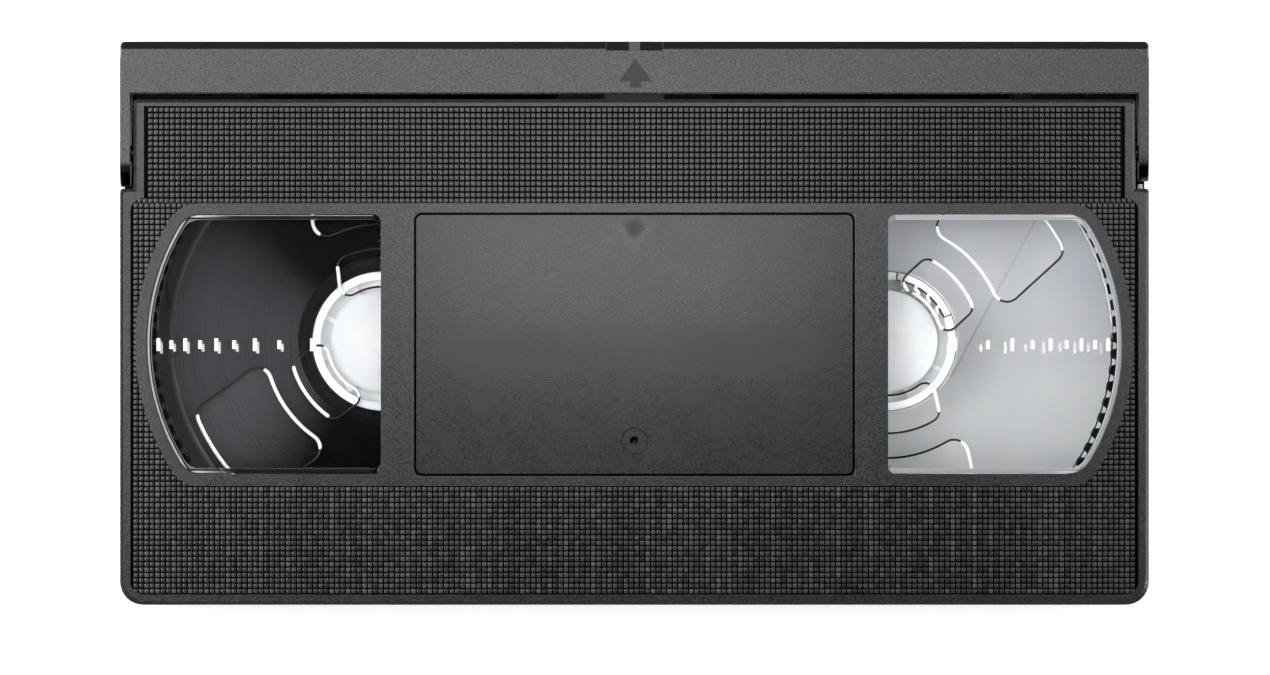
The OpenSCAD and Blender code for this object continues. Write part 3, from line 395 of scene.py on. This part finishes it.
class Pattern(Tree):
    """A geometry tree whose sizes are named inputs, baked to a plain mesh for one body."""

    def __init__(self, name, *sizes):
        self.group = bpy.data.node_groups.new(name, "GeometryNodeTree")
        super().__init__(self.group)
        self.group.interface.new_socket("Geometry", in_out="OUTPUT", socket_type="NodeSocketGeometry")
        for size in sizes:
            self.group.interface.new_socket(size, in_out="INPUT", socket_type="NodeSocketFloat")
        entry = self.group.nodes.new("NodeGroupInput")
        self.size = {size: Value(self, entry.outputs[size]) for size in sizes}

    def end(self, shape, finish):
        real = self.node("GeometryNodeRealizeInstances", {}, {0: shape})
        dressed = self.node("GeometryNodeSetMaterial", {}, {0: real, "Material": finish.material})
        self.node("NodeGroupOutput", {}, {0: dressed})

    def bake(self, name, body, **sizes):
        piece = bpy.data.objects.new(name, bpy.data.meshes.new(name + "_seed"))
        scene.collection.objects.link(piece)
        modifier = piece.modifiers.new("pattern", "NODES")
        modifier.node_group = self.group
        for socket in self.group.interface.items_tree:
            if socket.in_out == "INPUT":
                modifier[socket.identifier] = float(sizes[socket.name.replace(" ", "_")])
        seen = piece.evaluated_get(bpy.context.evaluated_depsgraph_get())
        mesh = bpy.data.meshes.new_from_object(seen)
        piece.modifiers.clear()
        piece.data = mesh
        mesh.name = name
        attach(piece, body)


square_base, square_foot, square_height = 0.76, 24.69, 0.29
square_room, square_taper, square_crown = 0.46, 0.16, 1.80
field_rear_to_side, field_side_to_front = -29.7, 21.85


def squares_pattern(finish):
    pattern = Pattern("moulded_squares", "Left", "Right", "Front", "Rear", "Pitch X", "Pitch Y",
                      "Start X", "Start Y", "Base", "Foot", "Height")
    size = pattern.size

    def first_and_last(low, high, start, pitch):
        """The numbers of the first and the last row of squares between two edges of a field."""
        first, last = [(size[edge] - size[start]) / size[pitch] for edge in (low, high)]
        return first.maths("CEIL", first), last.maths("FLOOR", last)

    first_column, last_column = first_and_last("Left", "Right", "Start X", "Pitch X")
    first_row, last_row = first_and_last("Rear", "Front", "Start Y", "Pitch Y")
    columns, rows = last_column - first_column, last_row - first_row
    grid = pattern.node("GeometryNodeMeshGrid", {}, {
        "Size X": columns * size["Pitch X"], "Size Y": rows * size["Pitch Y"],
        "Vertices X": columns + 1, "Vertices Y": rows + 1})
    middle = pattern.node("ShaderNodeCombineXYZ", {}, {
        0: size["Start X"] + (first_column + last_column) * 0.5 * size["Pitch X"],
        1: size["Start Y"] + (first_row + last_row) * 0.5 * size["Pitch Y"], 2: size["Foot"]})
    placed = pattern.node("GeometryNodeTransform", {}, {0: grid, "Translation": middle})
    spot = pattern.node("ShaderNodeSeparateXYZ", {}, {0: pattern.node("GeometryNodeInputPosition")})
    outside = 1 - in_field(pattern, spot * 1000, spot.also("Y") * 1000, square_room)
    kept = pattern.node("GeometryNodeDeleteGeometry", {"domain": "POINT"}, {0: placed, "Selection": outside})
    block_size = pattern.node("ShaderNodeCombineXYZ", {}, {
        0: size["Base"], 1: size["Base"], 2: size["Height"]})
    block = pattern.node("GeometryNodeMeshCube", {}, {
        "Size": block_size, "Vertices X": 2, "Vertices Y": 2, "Vertices Z": 3})
    corner = pattern.node("ShaderNodeSeparateXYZ", {}, {0: pattern.node("GeometryNodeInputPosition")})
    level = corner.also("Z") / size["Height"] + 0.5
    width = 1 - square_taper * level * level
    lift = size["Height"] * level * (1 + square_crown - square_crown * level)
    pillow = pattern.node("GeometryNodeSetPosition", {}, {0: block, "Position": pattern.node(
        "ShaderNodeCombineXYZ", {}, {0: corner * width, 1: corner.also("Y") * width, 2: lift})})
    smooth = pattern.node("GeometryNodeSetShadeSmooth", {}, {0: pillow})
    pattern.end(pattern.node("GeometryNodeInstanceOnPoints", {}, {0: kept, "Instance": smooth}), finish)
    return pattern


class CellFinish(Finish):
    """A finish whose tone changes a little from one moulded square to the next."""

    def cells(self, pitch_x, pitch_y, start_x, start_y):
        column = (self.x - start_x) / pitch_x + 0.5
        row = (self.y - start_y) / pitch_y + 0.5
        column, row = column.maths("FLOOR", column), row.maths("FLOOR", row)
        spot = self.node("ShaderNodeCombineXYZ", {}, {0: column, 1: row, 2: 0.0})
        each = self.node("ShaderNodeTexWhiteNoise", {"noise_dimensions": "3D"}, {"Vector": spot})
        line = self.node("ShaderNodeTexWhiteNoise", {"noise_dimensions": "1D"}, {"W": column})
        return each, line


def square_finish(name, shade, pitch_x, pitch_y, start_x, start_y):
    squares = CellFinish(name, Specular_IOR_Level=0.5)
    each, line = squares.cells(pitch_x, pitch_y, start_x, start_y)
    tone = squares.node("ShaderNodeValToRGB", {"stops": [
        (0.0, (0.008, 0.008, 0.008)), (0.6, (0.022, 0.022, 0.023)), (1.0, (0.050, 0.050, 0.052))]},
        {0: each * 0.45 + line * 0.55})
    # Painted shade: the floor between the squares is painted near-black and made metallic, so it loses its
    # sheen.
    low = squares.step(squares.z, 24.95, 24.88)
    colour = squares.blend(low, squares.shaded(tone, shade), (0.002, 0.002, 0.002))
    squares.give(colour, 0.24 + 0.14 * each, squares.noise(0.5, 2) * 0.010)
    squares.send("Metallic", low)
    return squares


rear_pitch = dict(pitch_x=0.990, pitch_y=0.975, start_x=0.439, start_y=0.055)
side_pitch = dict(pitch_x=0.990, pitch_y=0.9925, start_x=0.439, start_y=0.5575)
front_pitch = dict(pitch_x=0.994, pitch_y=1.032, start_x=0.489, start_y=-0.422)

# The side rows and, more, the front rows are painted darker overall, as painted shade.
for name, pitch, rear, front, shade in (
        ("squares_rear", rear_pitch, field_low, field_rear_to_side, 1.0),
        ("squares_side", side_pitch, field_rear_to_side, field_side_to_front, 0.9),
        ("squares_front", front_pitch, field_side_to_front, field_high, 0.6)):
    squares_pattern(square_finish(name, shade, **pitch)).bake(
        name, "shell", Left=-field_half * mm, Right=field_half * mm, Front=front * mm, Rear=rear * mm,
        Pitch_X=pitch["pitch_x"] * mm, Pitch_Y=pitch["pitch_y"] * mm,
        Start_X=pitch["start_x"] * mm, Start_Y=pitch["start_y"] * mm,
        Base=square_base * mm, Foot=square_foot * mm, Height=square_height * mm)


# ---------------------------------------------------------------- Window plates
# Each window is a clear moulded plate, pressed into the upper half from inside, with a bevelled rim.
# The plate is polished, and only its rim and its lip keep a faint frost from the mould. The rim's bright
# lines and the right window's paler rim are painted light.

def clear_plastic(name, colour, roughness, bend=1.49, shade=0.93):
    clear = Finish(name, Transmission_Weight=1.0, IOR=bend, Specular_IOR_Level=0.5)
    wave = clear.noise(7, 1)
    scuff = clear.step(clear.noise(0.5, 2, (1, 0.08, 1)) * clear.noise(6, 2), 0.42, 0.5)
    tone = clear.blend(wave, colour, [c * 0.97 for c in colour])
    clear.give(tone, roughness + 0.05 * scuff, wave * 0.004)
    nodes, links = clear.tree.nodes, clear.tree.links
    shadow = clear.node("ShaderNodeLightPath", output="Is Shadow Ray")
    open_air = clear.node("ShaderNodeBsdfTransparent", {}, {"Color": (shade, shade, shade, 1)})
    solid = Value(clear, clear.shader.outputs["BSDF"])
    both = clear.node("ShaderNodeMixShader", {}, {0: shadow, 1: solid, 2: open_air})
    links.new(both.socket, nodes["Material Output"].inputs["Surface"])
    return clear


dress(clear_plastic("window_clear", (0.97, 0.975, 0.98), 0.012), "window_left", "window_right")

window_arc_r, window_corner_r = 41.57, 4.5
window_near, window_low, window_high = 47.5, -27.4, 19.8
rim_profile = ((0.16, 24.29), (1.00, 24.83), (1.00, 24.81), (0.16, 24.27))
corner_steps, straight_steps, arc_steps = 10, 24, 80


def window_outline(inset):
    """Points along the rim: from the reel's side behind, round the outer arc, to the reel's side in front."""
    arc_r, corner_r = window_arc_r - inset, window_corner_r - inset
    reach = window_arc_r - window_corner_r
    points = []
    for edge, way in ((window_low + inset, -1), (window_high - inset, 1)):
        middle_y = edge - way * corner_r
        middle_x = frame_arc_x + math.sqrt(reach ** 2 - (middle_y - frame_arc_y) ** 2)
        turn = math.atan2(middle_y - frame_arc_y, middle_x - frame_arc_x)
        corner = [turn + (way * math.pi / 2 - turn) * i / corner_steps for i in range(corner_steps + 1)]
        corner = [(middle_x + corner_r * math.cos(a), middle_y + corner_r * math.sin(a)) for a in corner]
        run = (middle_x - window_near) / straight_steps
        straight = [(window_near + run * i, edge) for i in range(straight_steps)]
        points.append((straight + corner[::-1], turn))
    low_turn, high_turn = points[0][1], points[1][1]
    arc = [low_turn + (high_turn - low_turn) * i / arc_steps for i in range(1, arc_steps)]
    arc = [(frame_arc_x + arc_r * math.cos(a), frame_arc_y + arc_r * math.sin(a)) for a in arc]
    return points[0][0] + arc + points[1][0][::-1]


def rim_finish():
    rim = Finish("window_rim_frosted", Specular_IOR_Level=0.5)
    far = rim.length(rim.larger(abs(rim.x) - frame_arc_x, 0.0), rim.y - frame_arc_y)
    inset = rim.smaller(window_arc_r - far, rim.smaller(window_high - rim.y, rim.y - window_low))
    inner_highlight = rim.step(inset, 0.82, 0.92)
    round_part = rim.step(abs(rim.x), 72, 80)
    outer_highlight = rim.larger(rim.step(inset, 0.62, 0.52) * round_part,
                            rim.step(inset, 0.34, 0.26) * rim.step(rim.y, -1, 1))
    cloud = rim.noise(3.5, 3)
    # Painted light: the right window's rim is painted much paler than the left one's, and thin lines along
    # the rim, strongest round the outer arc, are painted highlights.
    painted_lit_side = rim.step(rim.x, -10, 10)
    colour = rim.blend(painted_lit_side, (0.008, 0.008, 0.009), (0.36, 0.37, 0.39))
    colour = rim.blend(inner_highlight * (0.04 + 0.25 * round_part + 0.3 * painted_lit_side), colour, (0.55, 0.56, 0.58))
    colour = rim.blend(outer_highlight * (0.35 + 0.35 * round_part + 0.3 * cloud), colour, (0.66, 0.67, 0.69))
    rim.give(colour, 0.30 + 0.15 * cloud, cloud * 0.01)
    alpha = 0.92 - 0.45 * round_part * (1 - rim.larger(inner_highlight, outer_highlight))
    rim.send("Alpha", alpha)
    return rim


def rim_band(name, side, finish):
    """The bevel of one window, with its frost and painted highlights, as a thin closed band that lies on the
    plate's bevel.
    """
    shape = bmesh.new()
    rows = []
    for inset, height in rim_profile:
        rows.append([shape.verts.new((side * x * mm, y * mm, height * mm)) for x, y in window_outline(inset)])
    count = len(rows[0])
    for row, beside in zip(rows, rows[1:] + rows[:1]):
        for i in range(count - 1):
            shape.faces.new((row[i], row[i + 1], beside[i + 1], beside[i]))
    for i in (0, count - 1):
        shape.faces.new([row[i] for row in rows])
    bmesh.ops.recalc_face_normals(shape, faces=shape.faces)
    mesh = bpy.data.meshes.new(name)
    shape.to_mesh(mesh)
    shape.free()
    mesh.materials.append(finish.material)
    band = bpy.data.objects.new(name, mesh)
    scene.collection.objects.link(band)
    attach(band, "shell")


rim_frost_and_highlights = rim_finish()
rim_band("window_rim_left", -1, rim_frost_and_highlights)
rim_band("window_rim_right", 1, rim_frost_and_highlights)


# ---------------------------------------------------------------- Window scale marks
# A row of short white bars is printed on each window, long and short by turns. They stand at equal lengths
# of tape, so their distance from the reel's middle grows as a square root. A fainter copy below is a painted
# reflection of them.

def white_ink(name, level, cover):
    ink = Finish(name, Specular_IOR_Level=0.4)
    worn = ink.noise(0.5, 3)
    ink.give(ink.blend(worn, (level, level, level), (level * 0.9, level * 0.9, level * 0.9)),
             0.5 + 0.1 * worn, worn * 0.004)
    ink.send("Alpha", cover - 0.1 * worn)
    return ink


def scale_pattern(finish):
    pattern = Pattern("scale_marks", "Count", "Reel X", "Side", "First", "Step", "Middle Y", "Foot",
                      "Width", "Long", "Short", "Thickness")
    size = pattern.size
    row = pattern.node("GeometryNodeMeshLine", {}, {"Count": size["Count"]})
    number = pattern.node("GeometryNodeInputIndex")
    odd = number.maths("MODULO", number, 2.0)
    far = (size["First"] + size["Step"] * number) ** 0.5
    at = pattern.node("ShaderNodeCombineXYZ", {}, {
        0: size["Reel X"] + size["Side"] * far, 1: size["Middle Y"], 2: size["Foot"]})
    placed = pattern.node("GeometryNodeSetPosition", {}, {0: row, "Position": at})
    bar = pattern.node("GeometryNodeMeshCube", {}, {"Size": (1.0, 1.0, 1.0)})
    tall = size["Long"] + (size["Short"] - size["Long"]) * odd
    scale = pattern.node("ShaderNodeCombineXYZ", {}, {0: size["Width"], 1: tall, 2: size["Thickness"]})
    bars = pattern.node("GeometryNodeInstanceOnPoints", {}, {0: placed, "Instance": bar, "Scale": scale})
    pattern.end(bars, finish)
    return pattern


reel_x = 46.0
marks = scale_pattern(white_ink("window_print_white", 0.90, 1.05))
# The fainter bars under the plate are a painted reflection of the printed bars.
mark_reflections = scale_pattern(white_ink("window_print_faint", 0.80, 0.50))
for side, name, first, step, shift in ((-1, "left", 159.0, 185.4, 0.5), (1, "right", 150.0, 182.0, -1.2)):
    row = dict(Count=9, Side=side, First=first * mm * mm, Step=step * mm * mm, Thickness=0.02 * mm)
    marks.bake("scale_marks_" + name, "shell", Reel_X=side * reel_x * mm, Middle_Y=-3.9 * mm,
               Foot=24.81 * mm, Width=0.66 * mm, Long=2.3 * mm, Short=1.55 * mm, **row)
    mark_reflections.bake("scale_marks_faint_" + name, "shell", Reel_X=(side * reel_x + shift) * mm,
                     Middle_Y=-4.45 * mm, Foot=21.88 * mm, Width=0.5 * mm, Long=2.1 * mm, Short=1.4 * mm,
                     **row)


# ---------------------------------------------------------------- Front lid
# The lid is one black moulding with a coarser spark-eroded grain outside and smooth walls within.
# The floor of its arrow and the ends of its notch come from polished inserts in the mould. The arrow's floor,
# the notch's floor, the front edge, the arm ends and the inner walls are painted near-black as painted shade.

def lid_finish():
    lid = Finish("lid_black_eroded", Specular_IOR_Level=0.5)
    x, y, z = lid.x, lid.y, lid.z
    grain = lid.noise(0.32, 1, roughness=0.6)
    coarse = lid.noise(0.9, 2)
    flow = lid.noise(18, 2)
    arrow = lid.step(z, 24.76, 24.72) * lid.step(z, 24.6, 24.64)
    arrow = arrow * lid.step(abs(x), 4, 3.6) * lid.step(y, 42.4, 42.8)
    notch = lid.step(abs(x), 5.3, 5.15) * lid.step(y, 49.3, 49.5) * lid.step(z, 24.9, 24.8)
    notch_floor = notch * lid.step(abs(x), 5.08, 4.98) * lid.step(abs(x), 0.9, 1.1)
    inside = lid.step(y, 49.7, 49.5) * lid.step(z, 23.5, 23.3)
    edge = lid.step(y, 49.75, 49.95) * (1 - notch)
    # Painted shade: the arm ends, the front edge strip, the arrow's floor, the inner walls and the notch's
    # floor are painted near-black and made metallic, so they lose their sheen.
    dark = lid.step(y, 29.6, 28.4)
    for shade in (edge * 0.75, arrow * 0.4, inside * 0.6, notch_floor * 0.93):
        dark = lid.larger(dark, shade)
    smooth = lid.larger(arrow, lid.larger(notch, inside))
    speck = lid.step(grain, 0.40, 0.60)
    colour = lid.blend(flow, (0.017, 0.017, 0.0175), (0.023, 0.023, 0.0235))
    colour = lid.shaded(colour, 0.25 + 1.7 * speck * (1 - smooth * 0.5))
    colour = lid.blend(dark, colour, (0.004, 0.004, 0.004))
    rough = 0.29 - 0.08 * smooth + 0.05 * coarse + 0.12 * edge + 0.10 * (speck - 0.5) * (1 - smooth)
    height = grain * (0.001 + 0.045 * (1 - smooth)) + coarse * 0.010 * (1 - smooth) + flow * 0.02
    lid.give(colour, rough, height)
    lid.send("Metallic", dark)
    return lid


dress(lid_finish(), "front_lid")


# ---------------------------------------------------------------- Springs, posts and screws
# The springs are bent from drawn and polished steel wire or strip. The posts and the roller's pin are ground
# bright round their sides, and the screws are zinc plated.

def drawn_steel(name, colour, roughness, line, depth):
    steel = Finish(name, Metallic=1.0)
    drawn = steel.noise(line, 2, (0.15, 1, 1))
    cloud = steel.noise(2.5, 2)
    tone = steel.blend(cloud, colour, [c * 0.86 for c in colour])
    steel.give(tone, roughness + 0.12 * cloud, drawn * depth)
    return steel


dress(drawn_steel("spring_steel_drawn", (0.56, 0.56, 0.57), roughness=0.26, line=0.15, depth=0.003),
      "lid_spring", "brake_spring_left", "brake_spring_right", "reel_spring")


def ground_steel():
    steel = Finish("post_steel_ground", Metallic=1.0)
    rings = steel.noise(0.12, 2, (0.05, 0.05, 1))
    tone = steel.blend(rings, (0.66, 0.66, 0.67), (0.58, 0.58, 0.60))
    steel.give(tone, 0.16 + 0.10 * rings, rings * 0.002)
    return steel


dress(ground_steel(), "left_guide_post", "right_guide_post", "guide_roller_pin")


def plated_steel():
    steel = Finish("screw_steel_zinc", Metallic=1.0)
    spangle = steel.noise(0.8, 3)
    tone = steel.blend(spangle, (0.60, 0.61, 0.60), (0.46, 0.47, 0.45))
    steel.give(tone, 0.28 + 0.20 * spangle, spangle * 0.006)
    return steel


dress(plated_steel(), "case_screws")


# ---------------------------------------------------------------- Lid lock, brakes and roller
# These levers are small mouldings in pale acetal, which runs on its pins without oil. The guide roller is
# turned smooth, and the lock's nose shows as a light corner beside the lid's right arm.

def acetal(name, colour, roughness):
    pale = Finish(name, Specular_IOR_Level=0.5, Subsurface_Weight=0.15, Subsurface_Scale=0.0008)
    cloud = pale.noise(2.2, 3)
    tone = pale.blend(cloud, colour, [c * 0.93 for c in colour])
    pale.give(tone, roughness + 0.08 * cloud, pale.noise(0.25, 2) * 0.004 + cloud * 0.006)
    return pale


dress(acetal("lever_acetal", (0.60, 0.60, 0.58), 0.42),
      "lid_lock", "brake_lever_left", "brake_lever_right", "brake_release_lever")
dress(acetal("roller_acetal", (0.72, 0.72, 0.70), 0.30), "guide_roller")


# ---------------------------------------------------------------- Reel hubs and lower flanges
# Each hub is moulded with its toothed lower flange in opaque white plastic. Faint rings from the lathe-turned
# mould run round the flange, and its middle is a frosted disc.

reel_y = -3.25


def hub_finish(name, side):
    white = Finish(name, Specular_IOR_Level=0.5, Subsurface_Weight=0.2, Subsurface_Scale=0.0012)
    x, y, z = white.x - side * reel_x, white.y - reel_y, white.z
    far = white.length(x, y)
    cloud = white.noise(6, 3)
    rings = (far * 9.0).maths("SINE", far * 9.0)
    web = white.step(z, 6.5, 6.2)
    disc = white.step(far, 10.2, 9.4) * white.step(z, 12, 14)
    colour = white.blend(cloud, (0.84, 0.845, 0.855), (0.79, 0.80, 0.81))
    # Painted light: the middle of the hub is painted lighter towards its centre.
    colour = white.blend(white.step(far, 9.0, 0.5) * white.step(z, 12, 14), colour, (0.97, 0.97, 0.97))
    # Painted shade: the lower flange is painted a darker blue-grey towards the lid's side.
    bluish_shade = web * white.step(y + x * side * 0.4, 4, 30)
    colour = white.blend(bluish_shade * 0.5, colour, (0.50, 0.53, 0.62))
    # Painted shadow: on the supply reel the flange just outside the tape pack is painted dark grey, as the
    # pack's shadow.
    painted_pack_shadow = web * white.step(far, 38.2, 39.5) * (0.88 if side < 0 else 0.0)
    colour = white.blend(painted_pack_shadow, colour, (0.10, 0.105, 0.12))
    # Painted light: the well round the hub's middle is painted nearly white.
    ring = white.within(far, 9.8, 12.2, 0.2) * white.step(z, 13, 14)
    colour = white.blend(ring, colour, (0.95, 0.95, 0.955))
    height = rings * 0.0015 * web + white.noise(0.35, 2) * 0.005 * disc
    white.give(colour, 0.40 + 0.10 * cloud + 0.12 * disc, height)
    return white


dress(hub_finish("supply_hub_white", -1), "supply_hub")
dress(hub_finish("takeup_hub_white", 1), "takeup_hub")


# ---------------------------------------------------------------- Upper flanges
# The upper flange of each reel is a thin clear disc, welded on the hub and opened by six windows.
# Its rims are fire polished, and their bright lines are painted highlights, strongest where a rim faces one
# fixed way.

flange_top, lip_sides = 18.3, 6
shine_way = Vector((0.87, 0.5, 0))
dress(clear_plastic("flange_clear", (0.955, 0.965, 0.975), 0.015), "supply_top_flange", "takeup_top_flange")


def lip_finish():
    lip = Finish("flange_lip_polished", Specular_IOR_Level=0.5)
    bright = lip.node("ShaderNodeAttribute", {"attribute_name": "bright"}, output="Fac")
    sparkle = lip.noise(1.1, 2)
    # Painted highlight: the lip is painted white where it faces one fixed way, with painted glints along it,
    # and near-black elsewhere.
    bright = lip.step(bright + 0.5 * (sparkle - 0.5), 0.30, 0.60)
    tone = lip.blend(bright, (0.020, 0.020, 0.022), (0.93, 0.93, 0.93))
    lip.give(tone, 0.18 + 0.12 * sparkle, sparkle * 0.02)
    return lip


def edge_loops(node, level):
    """The closed loops of sharp edges round one flat face of a CAD piece, as lists of points."""
    shape = bmesh.new()
    shape.from_mesh(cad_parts[node].data)
    bmesh.ops.remove_doubles(shape, verts=shape.verts, dist=1e-6)
    links = {}
    for edge in shape.edges:
        a, b = edge.verts
        if max(abs(a.co.z - level), abs(b.co.z - level)) < 1e-5 and edge.calc_face_angle(0) > 1.2:
            links.setdefault(a.index, (a.co.copy(), []))[1].append(b.index)
            links.setdefault(b.index, (b.co.copy(), []))[1].append(a.index)
    shape.free()
    left, loops = set(links), []
    while left:
        chain = [left.pop()]
        while True:
            following = [i for i in links[chain[-1]][1] if i in left]
            if not following:
                break
            chain.append(following[0])
            left.remove(following[0])
        loops.append([links[i][0] for i in chain])
    return loops


def flange_lips(node, body, finish, spacing, thin, thick, rim_shine):
    """A round lip on every edge of the flange's upper face, thick and with a painted highlight where it faces
    one fixed way.
    """
    verts, faces, bright = [], [], []
    for loop in edge_loops(node, flange_top * mm):
        path = []
        for a, b in zip(loop, loop[1:] + loop[:1]):
            parts = max(1, round((b - a).length / spacing))
            path += [a.lerp(b, i / parts) for i in range(parts)]
        first, count = len(verts), len(path)
        is_rim = max(p.x for p in path) - min(p.x for p in path) > 70 * mm
        shine, slimness = (rim_shine, 0.7) if is_rim else (1, 1)
        for i, point in enumerate(path):
            along = path[(i + 1) % count] - path[i - 1]
            across = Vector((along.y, -along.x, 0)).normalized()
            facing = min(1, max(0, (abs(across.dot(shine_way)) - 0.80) / 0.12)) * shine
            radius = (thin + (thick - thin) * facing) * slimness
            for k in range(lip_sides):
                turn = math.tau * k / lip_sides
                up = Vector((0, 0, radius * (math.sin(turn) - 0.87)))
                verts.append(point + across * radius * math.cos(turn) + up)
                bright.append(facing)
                here, there = first + i * lip_sides, first + (i + 1) % count * lip_sides
                after = (k + 1) % lip_sides
                faces.append((here + k, here + after, there + after, there + k))
    mesh = bpy.data.meshes.new(node + "_lips")
    mesh.from_pydata(verts, [], faces)
    mesh.attributes.new("bright", "FLOAT", "POINT").data.foreach_set("value", bright)
    shape = bmesh.new()
    shape.from_mesh(mesh)
    bmesh.ops.recalc_face_normals(shape, faces=shape.faces)
    shape.to_mesh(mesh)
    shape.free()
    mesh.shade_smooth()
    mesh.materials.append(finish.material)
    lips = bpy.data.objects.new(node + "_lips", mesh)
    scene.collection.objects.link(lips)
    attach(lips, body)


polished = lip_finish()
for node, body, rim_shine in (("supply_top_flange", "supply_reel", 0.1),
                              ("takeup_top_flange", "takeup_reel", 0.6)):
    flange_lips(node, body, polished, spacing=0.7 * mm, thin=0.20 * mm, thick=0.34 * mm, rim_shine=rim_shine)


# ---------------------------------------------------------------- Tape pack
# The nearly full pack is one long film wound turn on turn, seen from its edge. Some turns stand a few
# hundredths proud of the others, so that fine rings catch the light.

def winding_finish(name, side, colours, ring, depth, gloss, painted_fan=0.0):
    pack = Finish(name, Specular_IOR_Level=0.05)
    x, y = pack.x - side * reel_x, pack.y - reel_y
    far = pack.length(x, y)
    turn, band = [pack.node("ShaderNodeTexNoise", {"noise_dimensions": "1D"}, {
        "W": far / width, "Scale": 1.0, "Detail": detail})
        for width, detail in ((ring, 3.0), (ring * 14, 2.0))]
    colour = pack.blend(pack.step(turn, 0.25, 0.75), *colours)
    # Painted highlight: a fan of the pack on the side towards the left lamp is painted lighter.
    if painted_fan:
        lit = pack.step((x * side * 0.99 - y * 0.12) / far, 0.55, 1.05)
        tone = lit * painted_fan * (0.8 + 0.25 * pack.step(turn, 0.3, 0.7) + 0.25 * (band - 0.5))
        colour = pack.blend(tone, colour, (0.98, 1.0, 1.06))
    pack.give(colour, gloss + 0.12 * band, turn * depth + band * depth * 4)
    return pack


tape_tones = (0.002, 0.002, 0.0025), (0.004, 0.004, 0.005)
supply_leader_tones = (0.003, 0.003, 0.0035), (0.012, 0.012, 0.014)
takeup_leader_tones = (0.50, 0.50, 0.52), (0.66, 0.66, 0.68)
dress(winding_finish("tape_edges_dark", -1, tape_tones, ring=0.30, depth=0.020, gloss=0.16, painted_fan=0.050),
      "supply_tape_pack")
dress(winding_finish("leader_edges_supply", -1, supply_leader_tones, ring=0.13, depth=0.03, gloss=0.2),
      "supply_leader_wrap")
dress(winding_finish("leader_edges_takeup", 1, takeup_leader_tones, ring=0.12, depth=0.01, gloss=0.3),
      "takeup_leader_wrap")


# ---------------------------------------------------------------- Leader, clips and felt
# The stretched leader is smooth film. The clips that pinch its ends into the hubs are tough white mouldings
# with springy fins, and the tension pad is pressed wool felt on a film strip.

dress(clear_plastic("leader_film_clear", (0.985, 0.985, 0.99), 0.02, bend=1.03, shade=0.99), "leader_tape")
dress(acetal("clip_white", (0.80, 0.80, 0.80), 0.36), "supply_leader_clip", "takeup_leader_clip")


def felt_finish():
    felt = Finish("felt_wool", Sheen_Weight=0.6, Sheen_Roughness=0.5)
    fibre = felt.noise(0.18, 6, (1, 1, 0.4), 0.75)
    tuft = felt.noise(0.7, 3)
    tone = felt.blend(fibre, (0.34, 0.30, 0.25), (0.62, 0.58, 0.52))
    felt.give(tone, 0.9 + 0.05 * tuft, fibre * 0.09 + tuft * 0.05)
    return felt


dress(felt_finish(), "tension_pad")
